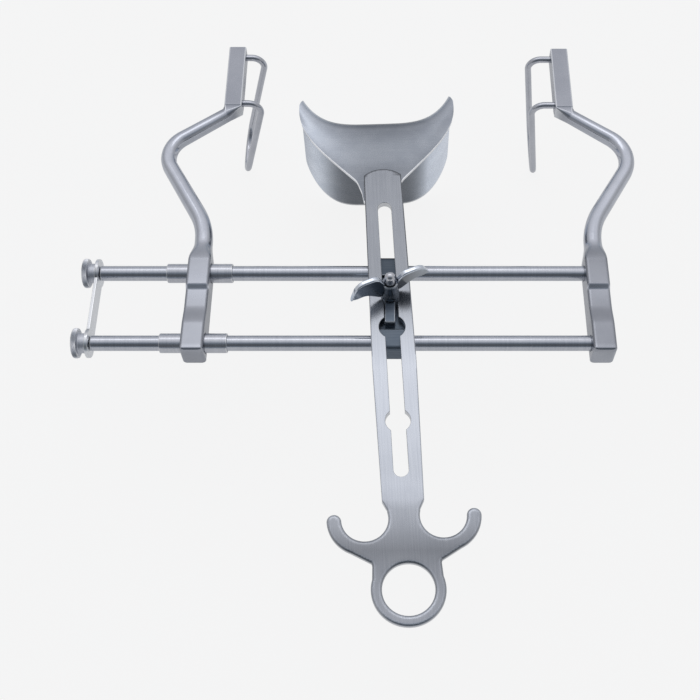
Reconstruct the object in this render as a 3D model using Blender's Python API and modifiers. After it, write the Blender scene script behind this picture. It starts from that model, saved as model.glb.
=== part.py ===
"""Abdominal retractor: two side loops on a rail frame and a clamped centre blade.

The rails run along X, the finger ring points to -Y and the blades hang to -Z.
The origin lies under the middle of the whole instrument, at its lowest level.
All sizes are in metres.
"""

import math

import bmesh
import bpy
from mathutils import Vector

# Clearances
SEAT_GAP = 0.0003
SLIDE_GAP = 0.0003

# Rails
RAIL_DIA = 0.008
RAIL_PITCH = 0.0426
RAIL_SPAN = 0.2566
RAIL_SOCKET_DEPTH = 0.009
TANG_DIA = 0.005

# Places along the rails, measured from the clamp stud
FIXED_ARM_X = 0.1091
SLIDING_ARM_X = -0.1008

# Crossbar of each arm
CROSSBAR_WIDTH = 0.0120
CROSSBAR_HEIGHT = 0.0156
CROSSBAR_OVERHANG = 0.0079
CROSSBAR_EDGE = 0.0014
CROSSBAR_TAIL = 0.0045
PAD_INSET = 0.0106
SCOOP_DEPTH = 0.0020
SCOOP_STEP = 0.0016

# Curved arms, measured outwards from the crossbar and back from the rail centre
ARM_WIDTH = 0.0094
ARM_HEIGHT = 0.0094
ARM_TIP_WIDTH = 0.0075
ARM_TIP_HEIGHT = 0.0077
ARM_EDGE = 0.0030
ARM_BEND_Y = 0.0520
ARM_BEND_RADIUS = 0.040
FIXED_ROOT_OUT = 0.0006
FIXED_ELBOW_OUT = 0.0308
FIXED_ELBOW_Y = 0.1028
FIXED_ELBOW_RADIUS = 0.0195
SLIDING_ROOT_OUT = 0.0
SLIDING_ELBOW_OUT = 0.0294
SLIDING_ELBOW_Y = 0.1044
SLIDING_ELBOW_RADIUS = 0.0165

# Block that carries the side loop
FIXED_BLOCK_IN = 0.0084
FIXED_BLOCK_Y = 0.1322
SLIDING_BLOCK_IN = 0.0100
SLIDING_BLOCK_Y = 0.1336
BLOCK_LENGTH = 0.0456
BLOCK_WIDTH = 0.0100
BLOCK_HEIGHT = 0.0100
BLOCK_EDGE = 0.0007

# Side loops
WIRE_DIA = 0.0038
LOOP_WIDTH = 0.0356
LOOP_SET_BACK = 0.0056
LOOP_LEG_IN = 0.0267
LOOP_DEPTH = 0.0698
LOOP_TOP_RADIUS = 0.0070
LOOP_FOOT_RADIUS = 0.0150
WIRE_SOCKET_DEPTH = 0.0050
FIXED_SPLAY = math.radians(7.3)
SLIDING_SPLAY = math.radians(14.0)

# Guide bushings
BUSHING_DIA = 0.0102
BUSHING_LENGTH = 0.0347

# End strap
STRAP_THICK = 0.0018
STRAP_EYE_RADIUS = 0.0076
STRAP_WAIST = 0.0100

# Thumb nuts
NUT_DIA = 0.0156
NUT_THICK = 0.0029
NUT_NECK_DIA = 0.0104
NUT_NECK = 0.0037
NUT_EDGE = 0.0008

# Carriage
CARRIAGE_WIDTH = 0.0170
BOSS_TOP = 0.0062
BOSS_BOTTOM = 0.0066
BOSS_OUTER = 0.0066
BOSS_INNER = 0.0052
BRIDGE_TOP = 0.0042
BRIDGE_BOTTOM = 0.0040
KEY_WIDTH = 0.0054
KEY_FRONT = 0.0145
KEY_REAR = 0.0105

# Clamp stud
STUD_DIA = 0.0054
STUD_Y = 0.0020
STUD_TOP = 0.0290
STUD_HEAD_DIA = 0.0090
STUD_HEAD = 0.0016

# Wing nut
HUB_FOOT_DIA = 0.0098
HUB_TOP_DIA = 0.0080
HUB_HEIGHT = 0.0112
EAR_SPAN = 0.0218
EAR_TOP = 0.0178
EAR_THICK = 0.0024
EAR_TURN = math.radians(24.8)

# Blade handle, measured along its slot from the clamp stud
HANDLE_TURN = math.radians(3.1)
HANDLE_THICK = 0.0038
HANDLE_EDGE = 0.0005
HANDLE_WIDTH = 0.0223
HANDLE_REAR = 0.0815
HANDLE_REAR_WIDTH = 0.0204
HANDLE_END_RADIUS = 0.0150
HANDLE_SHOULDER = 0.1132
HANDLE_SHOULDER_WIDTH = 0.0198
SLOT_WIDTH = 0.0073
SLOT_REAR = 0.0584
SLOT_FRONT = 0.1014
KEYHOLES = ((0.0193, 0.0134), (0.0720, 0.0124))
REST_RADIUS = 0.0109
REST_X = 0.0183
REST_Y = 0.1211
HOOK_WIDTH = 0.0069
HOOK_TIP = math.radians(2.0)
RING_Y = 0.1555
RING_OUTER = 0.0171
RING_INNER = 0.0120

# Centre blade
BLADE_THICK = 0.0016
BLADE_HALF_WIDTH = 0.0442
BLADE_FRONT = 0.0620
BLADE_BEND_Y = 0.1199
BLADE_BEND_RADIUS = 0.0070
BLADE_RISE = 0.0020
BLADE_SWEEP = 0.0190
BLADE_FOOT = 0.0730
BLADE_CORNER = 0.0190
HORN_FRONT_Y = 0.1335

FIXED_SHAPE = {
    "root": FIXED_ROOT_OUT,
    "elbow": (FIXED_ELBOW_OUT, FIXED_ELBOW_Y),
    "radius": FIXED_ELBOW_RADIUS,
    "block": (FIXED_BLOCK_IN, FIXED_BLOCK_Y),
}
SLIDING_SHAPE = {
    "root": SLIDING_ROOT_OUT,
    "elbow": (SLIDING_ELBOW_OUT, SLIDING_ELBOW_Y),
    "radius": SLIDING_ELBOW_RADIUS,
    "block": (SLIDING_BLOCK_IN, SLIDING_BLOCK_Y),
}

STEEL = (0.62, 0.64, 0.67, 1.0)
POLISHED = (0.70, 0.72, 0.75, 1.0)
DARK_STEEL = (0.38, 0.40, 0.44, 1.0)


def clear_scene():
    """Remove every object and collection the file starts with."""
    for obj in list(bpy.data.objects):
        bpy.data.objects.remove(obj, do_unlink=True)
    for coll in list(bpy.data.collections):
        bpy.data.collections.remove(coll)


def make_collections():
    """Make one collection for the parts and one for the cutters."""
    parts = bpy.data.collections.new("abdominal_retractor")
    cutters = bpy.data.collections.new("cutters")
    for coll in (parts, cutters):
        bpy.context.scene.collection.children.link(coll)
    return parts, cutters


def make_material(name, color, roughness):
    """Make a metal with the given colour and roughness."""
    mat = bpy.data.materials.new(name)
    mat.use_nodes = True
    shader = mat.node_tree.nodes["Principled BSDF"]
    shader.inputs["Base Color"].default_value = color
    shader.inputs["Roughness"].default_value = roughness
    shader.inputs["Metallic"].default_value = 1.0
    mat.diffuse_color = color
    return mat


def arc(center, radius, start, end, steps):
    """Points of a flat arc around center, both ends included."""
    points = []
    for i in range(steps + 1):
        angle = start + (end - start) * i / steps
        x = center[0] + radius * math.cos(angle)
        y = center[1] + radius * math.sin(angle)
        points.append(Vector((x, y)))
    return points


def round_corner(before, corner, after, radius, step, count=None):
    """Points of the arc that rounds one corner of a path."""
    into = (before - corner).normalized()
    out = (after - corner).normalized()
    opening = into.angle(out)
    if radius <= 0.0 or opening > math.pi - 1e-4:
        return [corner.copy()]
    tangent = radius / math.tan(opening / 2)
    bisector = (into + out).normalized()
    center = corner + bisector * radius / math.sin(opening / 2)
    first = corner + into * tangent - center
    last = corner + out * tangent - center
    turn = first.angle(last)
    count = count or max(2, round(turn / step))
    points = []
    for i in range(count + 1):
        t = i / count
        a = math.sin((1 - t) * turn) / math.sin(turn)
        b = math.sin(t * turn) / math.sin(turn)
        points.append(center + first * a + last * b)
    return points


def rounded_path(corners, radii, closed=False, step=math.radians(15)):
    """Round each corner of a polygon or an open path by its own radius."""
    count = len(corners)
    points = []
    for i, corner in enumerate(corners):
        if not closed and i in (0, count - 1):
            points.append(corner.copy())
            continue
        before = corners[i - 1]
        after = corners[(i + 1) % count]
        points.extend(round_corner(before, corner, after, radii[i], step))
    return points


def add_object(name, data, kit, mat, parent=None, location=(0, 0, 0), rotation=(0, 0, 0)):
    """Put a mesh or a curve into the parts collection under its parent."""
    obj = bpy.data.objects.new(name, data)
    kit["parts"].objects.link(obj)
    obj.parent = parent
    obj.location = location
    obj.rotation_euler = rotation
    if mat is not None:
        data.materials.append(mat)
    return obj


def add_empty(name, kit, parent=None, location=(0, 0, 0), rotation=(0, 0, 0)):
    """Put an empty that other pieces hang from."""
    empty = bpy.data.objects.new(name, None)
    kit["parts"].objects.link(empty)
    empty.parent = parent
    empty.location = location
    empty.rotation_euler = rotation
    empty.empty_display_size = 0.01
    return empty


def smooth(mesh, angle=35.0):
    """Shade a mesh smooth and keep its sharp edges."""
    mesh.shade_smooth()
    mesh.set_sharp_from_angle(angle=math.radians(angle))


def turned(name, profile, kit, mat, closed=False, steps=32, **place):
    """Revolve a profile of radius and height pairs about local Z."""
    mesh = bpy.data.meshes.new(name)
    work = bmesh.new()
    verts = [work.verts.new((r, 0.0, z)) for r, z in profile]
    for a, b in zip(verts, verts[1:]):
        work.edges.new((a, b))
    if closed:
        work.edges.new((verts[-1], verts[0]))
    work.to_mesh(mesh)
    work.free()
    obj = add_object(name, mesh, kit, mat, **place)
    screw = obj.modifiers.new("revolve", "SCREW")
    screw.axis = "Z"
    screw.steps = steps
    screw.render_steps = steps
    screw.use_merge_vertices = True
    screw.merge_threshold = 0.00001
    screw.use_smooth_shade = True
    return obj


def flat_outline(name, loops, thick, kit, mat, edge=0.0, **place):
    """Extrude flat closed loops, the first outside and the rest holes."""
    curve = bpy.data.curves.new(name, "CURVE")
    curve.dimensions = "2D"
    curve.fill_mode = "BOTH"
    curve.extrude = thick / 2 - edge
    curve.bevel_depth = edge
    curve.bevel_resolution = 0
    curve.offset = -edge
    for loop in loops:
        spline = curve.splines.new("POLY")
        spline.points.add(len(loop) - 1)
        for point, co in zip(spline.points, loop):
            point.co = (co[0], co[1], 0.0, 1.0)
        spline.use_cyclic_u = True
    return add_object(name, curve, kit, mat, **place)


def as_mesh(obj, kit):
    """Swap a curve object for a welded mesh object of the same name and place."""
    bpy.context.view_layer.update()
    graph = bpy.context.evaluated_depsgraph_get()
    mesh = bpy.data.meshes.new_from_object(obj.evaluated_get(graph))
    work = bmesh.new()
    work.from_mesh(mesh)
    bmesh.ops.remove_doubles(work, verts=work.verts, dist=0.000002)
    work.to_mesh(mesh)
    work.free()
    name = obj.name
    parent = obj.parent
    place = obj.matrix_world.copy()
    bpy.data.objects.remove(obj, do_unlink=True)
    swapped = bpy.data.objects.new(name, mesh)
    kit["parts"].objects.link(swapped)
    swapped.parent = parent
    bpy.context.view_layer.update()
    swapped.matrix_world = place
    return swapped


def add_cutter(name, data, kit, parent, location=(0, 0, 0), rotation=(0, 0, 0)):
    """Put a hidden cutter beside the piece that it shapes."""
    cutter = bpy.data.objects.new(name, data)
    kit["cutters"].objects.link(cutter)
    cutter.parent = parent
    cutter.location = location
    cutter.rotation_euler = rotation
    cutter.hide_render = True
    cutter.display_type = "WIRE"
    return cutter


def round_cutter(name, dia, length, kit, parent, location, rotation=(0, 0, 0), sides=24):
    """A round bar along local Z, centred on its place."""
    mesh = bpy.data.meshes.new(name)
    work = bmesh.new()
    bmesh.ops.create_cone(
        work,
        cap_ends=True,
        segments=sides,
        radius1=dia / 2,
        radius2=dia / 2,
        depth=length,
    )
    work.to_mesh(mesh)
    work.free()
    return add_cutter(name, mesh, kit, parent, location, rotation)


def combine(obj, other, operation):
    """Join or cut one solid with another."""
    modifier = obj.modifiers.new(other.name, "BOOLEAN")
    modifier.operation = operation
    modifier.object = other
    modifier.solver = "EXACT"


def blend(a, b, t):
    """Ease from one value to another."""
    t = min(1.0, max(0.0, t))
    t = t * t * (3 - 2 * t)
    return a + (b - a) * t


def rectangle_section(width, top, bottom, edge, per_corner=3):
    """Rounded rectangle as side and height pairs, counter-clockwise."""
    half = width / 2
    edge = min(edge, half * 0.96, (top + bottom) / 2 * 0.96)
    centers = (
        (half - edge, top - edge),
        (edge - half, top - edge),
        (edge - half, edge - bottom),
        (half - edge, edge - bottom),
    )
    points = []
    for i, center in enumerate(centers):
        start = i * math.pi / 2
        points.extend(arc(center, edge, start, start + math.pi / 2, per_corner))
    return points


def arm_path(shape):
    """Centre line of one arm: out to the right from the crossbar, seen from above."""
    front = -RAIL_PITCH / 2 - CROSSBAR_OVERHANG
    block_in, block_y = shape["block"]
    corners = [
        Vector((shape["root"], front)),
        Vector((shape["root"], ARM_BEND_Y)),
        Vector(shape["elbow"]),
        Vector((-block_in, block_y)),
        Vector((-block_in, block_y + BLOCK_LENGTH)),
    ]
    radii = (0.0, ARM_BEND_RADIUS, shape["radius"], 0.0, 0.0)
    return rounded_path(corners, radii, step=math.radians(9))


def arm_section(t):
    """Section of the arm, from its root at 0 to its tip at the block at 1."""
    t = t**1.3
    width = ARM_WIDTH + (ARM_TIP_WIDTH - ARM_WIDTH) * t
    half = (ARM_HEIGHT + (ARM_TIP_HEIGHT - ARM_HEIGHT) * t) / 2
    return rectangle_section(width, half, half, ARM_EDGE)


def crossbar_stations(root):
    """Places along the crossbar with the section that it has at each."""
    front = -RAIL_PITCH / 2 - CROSSBAR_OVERHANG
    half = CROSSBAR_HEIGHT / 2
    pad = RAIL_PITCH / 2 - PAD_INSET
    low = half - SCOOP_DEPTH
    edge = CROSSBAR_EDGE
    wide = CROSSBAR_WIDTH
    arm = ARM_HEIGHT / 2
    pad_end = RAIL_PITCH / 2 + CROSSBAR_TAIL
    stations = [
        (0.0, front, wide - 1.3 * edge, half - 0.65 * edge, half - 0.65 * edge, edge),
        (0.0, front + 0.3 * edge, wide - 0.5 * edge, half - 0.25 * edge, half - 0.25 * edge, edge),
        (0.0, front + edge, wide, half, half, edge),
        (0.0, -pad - SCOOP_STEP, wide, half, half, edge),
    ]
    for i in range(1, 6):
        y = -pad - SCOOP_STEP + i * pad / 5
        stations.append((0.0, y, wide, blend(half, low, i / 5), half, edge))
    stations.append((0.0, pad - SCOOP_STEP, wide, low, half, edge))
    stations.append((0.0, pad - SCOOP_STEP / 3, wide, blend(low, half, 0.5), half, edge))
    stations.append((0.0, pad, wide, half, half, edge))
    for i in range(7):
        t = i / 6
        x = blend(0.0, root, t)
        y = pad_end + (ARM_BEND_Y - 0.0075 - pad_end) * t
        width = blend(wide, ARM_WIDTH, t)
        depth = blend(half, arm, t)
        stations.append((x, y, width, depth, depth, blend(edge, ARM_EDGE, t)))
    return stations


def loft(name, rings):
    """Skin a row of equal rings and cap both ends."""
    mesh = bpy.data.meshes.new(name)
    work = bmesh.new()
    rows = [[work.verts.new(co) for co in ring] for ring in rings]
    for row, following in zip(rows, rows[1:]):
        for i in range(len(row)):
            j = (i + 1) % len(row)
            work.faces.new((row[i], row[j], following[j], following[i]))
    work.faces.new(rows[0])
    work.faces.new(rows[-1])
    bmesh.ops.remove_doubles(work, verts=work.verts, dist=0.000002)
    bmesh.ops.recalc_face_normals(work, faces=work.faces)
    work.to_mesh(mesh)
    work.free()
    return mesh


def arm_mesh(name, side, shape):
    """Crossbar, curved arm and loop block in one forging; side is 1 to the right."""
    rings = []

    def add_ring(place, tangent, section, stretch=1.0):
        across = Vector((tangent.y, -tangent.x))
        ring = []
        for s, h in section:
            flat = place + across * s * stretch
            ring.append((flat.x * side, flat.y, h))
        rings.append(ring)

    straight = Vector((0.0, 1.0))
    for x, y, width, top, bottom, edge in crossbar_stations(shape["root"]):
        section = rectangle_section(width, top, bottom, edge)
        add_ring(Vector((x, y)), straight, section)

    path = arm_path(shape)
    block = rectangle_section(BLOCK_WIDTH, BLOCK_HEIGHT / 2, BLOCK_HEIGHT / 2, BLOCK_EDGE)
    mitre = path[-2]
    length = sum((path[i + 1] - path[i]).length for i in range(1, len(path) - 2))
    done = 0.0
    for i in range(1, len(path) - 2):
        tangent = (path[i + 1] - path[i - 1]).normalized()
        add_ring(path[i], tangent, arm_section(done / length))
        done += (path[i + 1] - path[i]).length
    run = (mitre - path[-3]).normalized()
    add_ring(mitre - run * BLOCK_WIDTH * 0.5, run, arm_section(0.95))
    half = BLOCK_HEIGHT / 2
    joint = rectangle_section(BLOCK_WIDTH, half, ARM_TIP_HEIGHT / 2, BLOCK_EDGE)
    add_ring(mitre, straight, joint)
    add_ring(mitre + straight * BLOCK_WIDTH * 0.5, straight, block)
    add_ring(path[-1] - straight * BLOCK_EDGE, straight, block)
    trim = BLOCK_EDGE * 1.2
    end = rectangle_section(
        BLOCK_WIDTH - trim,
        BLOCK_HEIGHT / 2 - trim / 2,
        BLOCK_HEIGHT / 2 - trim / 2,
        BLOCK_EDGE * 0.6,
    )
    add_ring(path[-1], straight, end)
    mesh = loft(name, rings)
    smooth(mesh)
    return mesh


def loop_rows(shape):
    """Front and rear places of the side loop's legs along the block."""
    front = shape["block"][1] + LOOP_SET_BACK
    return front, front + LOOP_WIDTH


def side_loop(name, side, splay, shape, kit, mat, parent):
    """Wire loop that leaves the block inwards and hangs down with a splay."""
    face = -(shape["block"][0] + BLOCK_WIDTH / 2)
    root = face + WIRE_SOCKET_DEPTH - SEAT_GAP
    leg = -LOOP_LEG_IN
    foot = leg + LOOP_DEPTH * math.tan(splay)
    front, rear = loop_rows(shape)
    corners = [
        Vector((root * side, front, 0.0)),
        Vector((leg * side, front, 0.0)),
        Vector((foot * side, front, -LOOP_DEPTH)),
        Vector((foot * side, rear, -LOOP_DEPTH)),
        Vector((leg * side, rear, 0.0)),
        Vector((root * side, rear, 0.0)),
    ]
    top = LOOP_TOP_RADIUS
    low = LOOP_FOOT_RADIUS
    points = rounded_path(corners, (0.0, top, low, low, top, 0.0), step=math.radians(11))
    curve = bpy.data.curves.new(name, "CURVE")
    curve.dimensions = "3D"
    curve.bevel_depth = WIRE_DIA / 2
    curve.bevel_resolution = 4
    curve.use_fill_caps = True
    spline = curve.splines.new("POLY")
    spline.points.add(len(points) - 1)
    for point, co in zip(spline.points, points):
        point.co = (co.x, co.y, co.z, 1.0)
    spline.use_smooth = True
    return add_object(name, curve, kit, mat, parent=parent)


def make_arm(name, side, place_x, shape, kit, mat, datum):
    """One arm with the wire sockets in its block."""
    location = (place_x, 0.0, 0.0)
    obj = add_object(name, arm_mesh(name, side, shape), kit, mat, datum, location)
    face = -(shape["block"][0] + BLOCK_WIDTH / 2)
    for row, y in zip(("front", "rear"), loop_rows(shape)):
        cutter = round_cutter(
            f"{name}_{row}_wire_socket",
            WIRE_DIA + 2 * SEAT_GAP,
            2 * WIRE_SOCKET_DEPTH,
            kit,
            obj,
            (face * side, y, 0.0),
            (0.0, math.pi / 2, 0.0),
            16,
        )
        combine(obj, cutter, "DIFFERENCE")
    return obj


def strap_face_x():
    """Inner face of the end strap."""
    return FIXED_ARM_X - CROSSBAR_WIDTH / 2 - RAIL_SPAN


def make_rails(kit, mats, datum):
    """Two rails from the fixed crossbar to the thumb nuts."""
    start = strap_face_x() + SEAT_GAP
    inner = FIXED_ARM_X - CROSSBAR_WIDTH / 2
    end = inner + RAIL_SOCKET_DEPTH - SEAT_GAP
    tang = start - (STRAP_THICK + 3 * SEAT_GAP + NUT_NECK + NUT_THICK - 0.0006)
    radius = RAIL_DIA / 2
    slim = TANG_DIA / 2
    profile = [
        (0.0, end),
        (radius - 0.0004, end),
        (radius, end - 0.0004),
        (radius, start + 0.0003),
        (radius - 0.0003, start),
        (slim, start),
        (slim, tang + 0.0005),
        (slim - 0.0005, tang),
        (0.0, tang),
    ]
    for name, y in (("front_rail", -RAIL_PITCH / 2), ("rear_rail", RAIL_PITCH / 2)):
        turned(
            name,
            profile,
            kit,
            mats["polished"],
            parent=datum,
            location=(0.0, y, 0.0),
            rotation=(0.0, math.pi / 2, 0.0),
        )


def make_fixed_arm(kit, mats, datum):
    """Fixed arm with a blind bore for each rail, and its loop."""
    arm = make_arm("fixed_arm", 1, FIXED_ARM_X, FIXED_SHAPE, kit, mats["steel"], datum)
    bore = RAIL_DIA + 2 * SEAT_GAP
    for row, y in (("front", -RAIL_PITCH / 2), ("rear", RAIL_PITCH / 2)):
        cutter = round_cutter(
            f"fixed_arm_{row}_bore",
            bore,
            2 * RAIL_SOCKET_DEPTH,
            kit,
            arm,
            (-CROSSBAR_WIDTH / 2, y, 0.0),
            (0.0, math.pi / 2, 0.0),
            32,
        )
        combine(arm, cutter, "DIFFERENCE")
    side_loop("fixed_side_loop", 1, FIXED_SPLAY, FIXED_SHAPE, kit, mats["polished"], arm)


def make_sliding_arm(kit, mats, datum):
    """Sliding arm with its two guide bushings and its loop."""
    steel = mats["steel"]
    arm = make_arm("sliding_arm", -1, SLIDING_ARM_X, SLIDING_SHAPE, kit, steel, datum)
    bore = BUSHING_DIA + 2 * SEAT_GAP
    outer = BUSHING_DIA / 2
    inner = RAIL_DIA / 2 + SLIDE_GAP
    half = BUSHING_LENGTH / 2
    edge = 0.0003
    profile = [
        (outer - edge, half),
        (outer, half - edge),
        (outer, edge - half),
        (outer - edge, -half),
        (inner, -half),
        (inner, half),
    ]
    for row, y in (("front", -RAIL_PITCH / 2), ("rear", RAIL_PITCH / 2)):
        cutter = round_cutter(
            f"sliding_arm_{row}_bore",
            bore,
            2 * CROSSBAR_WIDTH,
            kit,
            arm,
            (0.0, y, 0.0),
            (0.0, math.pi / 2, 0.0),
            32,
        )
        combine(arm, cutter, "DIFFERENCE")
        turned(
            f"{row}_bushing",
            profile,
            kit,
            mats["polished"],
            closed=True,
            parent=arm,
            location=(0.0, y, 0.0),
            rotation=(0.0, math.pi / 2, 0.0),
        )
    polished = mats["polished"]
    side_loop("sliding_side_loop", -1, SLIDING_SPLAY, SLIDING_SHAPE, kit, polished, arm)


def strap_outline():
    """Two round eyes joined by a waist, and their screw holes."""
    waist = STRAP_WAIST / 2
    angle = math.asin(waist / STRAP_EYE_RADIUS)
    pitch = RAIL_PITCH / 2
    upper = arc((0.0, pitch), STRAP_EYE_RADIUS, angle - math.pi / 2, 1.5 * math.pi - angle, 24)
    lower = arc((0.0, -pitch), STRAP_EYE_RADIUS, math.pi / 2 + angle, 2.5 * math.pi - angle, 24)
    hole = TANG_DIA / 2 + SEAT_GAP
    holes = [arc((0.0, y), hole, 0.0, math.tau * 23 / 24, 23) for y in (pitch, -pitch)]
    return [upper + lower] + holes


def make_end_strap(kit, mats, datum):
    """Tie plate across the rails' threaded ends, with its two thumb nuts."""
    face = strap_face_x()
    flat_outline(
        "end_strap",
        strap_outline(),
        STRAP_THICK,
        kit,
        mats["steel"],
        edge=0.0003,
        parent=datum,
        location=(face - STRAP_THICK / 2, 0.0, 0.0),
        rotation=(0.0, -math.pi / 2, 0.0),
    )
    disc = NUT_DIA / 2
    neck = NUT_NECK_DIA / 2
    bore = TANG_DIA / 2 + SEAT_GAP
    seat = -SEAT_GAP
    step = seat - NUT_NECK
    back = step - NUT_THICK
    profile = [
        (neck, seat),
        (neck, step),
        (disc - NUT_EDGE, step),
        (disc - 0.3 * NUT_EDGE, step - 0.3 * NUT_EDGE),
        (disc, step - NUT_EDGE),
        (disc, back + NUT_EDGE),
        (disc - 0.3 * NUT_EDGE, back + 0.3 * NUT_EDGE),
        (disc - NUT_EDGE, back),
        (bore, back),
        (bore, seat),
    ]
    for row, y in (("front", -RAIL_PITCH / 2), ("rear", RAIL_PITCH / 2)):
        turned(
            f"{row}_thumb_nut",
            profile,
            kit,
            mats["steel"],
            closed=True,
            steps=36,
            parent=datum,
            location=(face - STRAP_THICK, y, 0.0),
            rotation=(0.0, math.pi / 2, 0.0),
        )


def extruded(name, outline, width):
    """Mesh of a height profile along Y, extruded across X."""
    mesh = bpy.data.meshes.new(name)
    work = bmesh.new()
    base = [work.verts.new((-width / 2, p.x, p.y)) for p in outline]
    face = work.faces.new(base)
    moved = bmesh.ops.extrude_face_region(work, geom=[face])
    verts = [g for g in moved["geom"] if isinstance(g, bmesh.types.BMVert)]
    bmesh.ops.translate(work, verts=verts, vec=(width, 0.0, 0.0))
    bmesh.ops.recalc_face_normals(work, faces=work.faces)
    work.to_mesh(mesh)
    work.free()
    return mesh


def make_carriage(kit, mats, datum):
    """Clamp block on both rails, with its key, stud and wing nut."""
    pitch = RAIL_PITCH / 2
    outer = pitch + BOSS_OUTER
    inner = pitch - BOSS_INNER
    corners = [
        Vector((-outer, -BOSS_BOTTOM)),
        Vector((-inner, -BOSS_BOTTOM)),
        Vector((-inner, -BRIDGE_BOTTOM)),
        Vector((inner, -BRIDGE_BOTTOM)),
        Vector((inner, -BOSS_BOTTOM)),
        Vector((outer, -BOSS_BOTTOM)),
        Vector((outer, BOSS_TOP)),
        Vector((inner, BOSS_TOP)),
        Vector((inner, BRIDGE_TOP)),
        Vector((-inner, BRIDGE_TOP)),
        Vector((-inner, BOSS_TOP)),
        Vector((-outer, BOSS_TOP)),
    ]
    big = 0.0022
    small = 0.0008
    radii = (big, small, small, small, small, big, big, small, small, small, small, big)
    outline = rounded_path(corners, radii, closed=True, step=math.radians(30))
    mesh = extruded("carriage", outline, CARRIAGE_WIDTH)
    block = add_object("carriage", mesh, kit, mats["steel"], datum)

    key_top = BOSS_TOP + SEAT_GAP + HANDLE_THICK - 0.0006
    key_corners = [
        Vector((-KEY_FRONT, 0.0)),
        Vector((KEY_REAR, 0.0)),
        Vector((KEY_REAR, key_top)),
        Vector((-KEY_FRONT, key_top)),
    ]
    key_outline = rounded_path(key_corners, (0.0, 0.0, small, small), True, math.radians(30))
    key = add_cutter("carriage_key", extruded("carriage_key", key_outline, KEY_WIDTH), kit, block)
    combine(block, key, "UNION")
    for row, y in (("front", -pitch), ("rear", pitch)):
        bore = round_cutter(
            f"carriage_{row}_bore",
            RAIL_DIA + 2 * SLIDE_GAP,
            2 * CARRIAGE_WIDTH,
            kit,
            block,
            (0.0, y, 0.0),
            (0.0, math.pi / 2, 0.0),
            32,
        )
        combine(block, bore, "DIFFERENCE")
    hole = round_cutter(
        "carriage_stud_hole",
        STUD_DIA + 2 * SEAT_GAP,
        0.05,
        kit,
        block,
        (0.0, STUD_Y, 0.0),
        sides=32,
    )
    combine(block, hole, "DIFFERENCE")

    head_top = -BRIDGE_BOTTOM - SEAT_GAP
    radius = STUD_DIA / 2
    head = STUD_HEAD_DIA / 2
    dome = arc((0.0, STUD_TOP - radius), radius, math.pi / 2, math.radians(9), 5)
    profile = [(p.x, p.y) for p in dome]
    profile[0] = (0.0, STUD_TOP)
    profile += [
        (radius, STUD_TOP - radius - 0.0003),
        (radius, head_top),
        (head, head_top),
        (head, head_top - STUD_HEAD + 0.0004),
        (head - 0.0004, head_top - STUD_HEAD),
        (0.0, head_top - STUD_HEAD),
    ]
    turned(
        "clamp_stud",
        profile,
        kit,
        mats["polished"],
        steps=24,
        parent=block,
        location=(0.0, STUD_Y, 0.0),
    )
    make_wing_nut(kit, mats, block)
    return block


def ear_outline():
    """Both ears of the wing nut in one outline across the hub, above its foot."""
    right = [
        Vector((EAR_SPAN * 0.30, EAR_TOP)),
        Vector((EAR_SPAN * 0.78, EAR_TOP)),
        Vector((EAR_SPAN, EAR_TOP * 0.42)),
        Vector((EAR_SPAN * 0.60, EAR_TOP * 0.41)),
        Vector((EAR_SPAN * 0.28, EAR_TOP * 0.09)),
    ]
    radii = [0.0042, 0.0062, 0.0010, 0.0080, 0.0012]
    left = [Vector((-p.x, p.y)) for p in reversed(right)]
    notch = HUB_HEIGHT - 0.0007
    crown = [Vector((-0.0022, notch)), Vector((0.0022, notch))]
    corners = right + left + crown
    return rounded_path(corners, radii + radii[::-1] + [0.0010, 0.0010], True, math.radians(12))


def make_wing_nut(kit, mats, block):
    """Wing nut on the stud: a tapered hub with two ears."""
    foot_level = BOSS_TOP + SEAT_GAP + HANDLE_THICK + SEAT_GAP
    axis = add_empty("wing_nut_axis", kit, block, (0.0, STUD_Y, foot_level), (0.0, 0.0, EAR_TURN))
    foot = HUB_FOOT_DIA / 2
    crown = HUB_TOP_DIA / 2
    bore = STUD_DIA / 2 + SEAT_GAP
    profile = [
        (crown - 0.0004, HUB_HEIGHT),
        (crown, HUB_HEIGHT - 0.0004),
        (crown + 0.0001, 0.0042),
        (foot, 0.0012),
        (foot, 0.0),
        (bore, 0.0),
        (bore, HUB_HEIGHT),
    ]
    hub = turned("wing_nut", profile, kit, mats["dark"], closed=True, parent=axis)
    ears = flat_outline(
        "wing_nut_ears",
        [ear_outline()],
        EAR_THICK,
        kit,
        None,
        edge=0.0006,
        parent=axis,
        rotation=(math.pi / 2, 0.0, 0.0),
    )
    ears = as_mesh(ears, kit)
    kit["parts"].objects.unlink(ears)
    kit["cutters"].objects.link(ears)
    ears.hide_render = True
    ears.display_type = "WIRE"
    hole = round_cutter("wing_nut_bore", 2 * bore, 0.06, kit, axis, (0.0, 0.0, 0.0), sides=32)
    combine(ears, hole, "DIFFERENCE")
    combine(hub, ears, "UNION")


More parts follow.
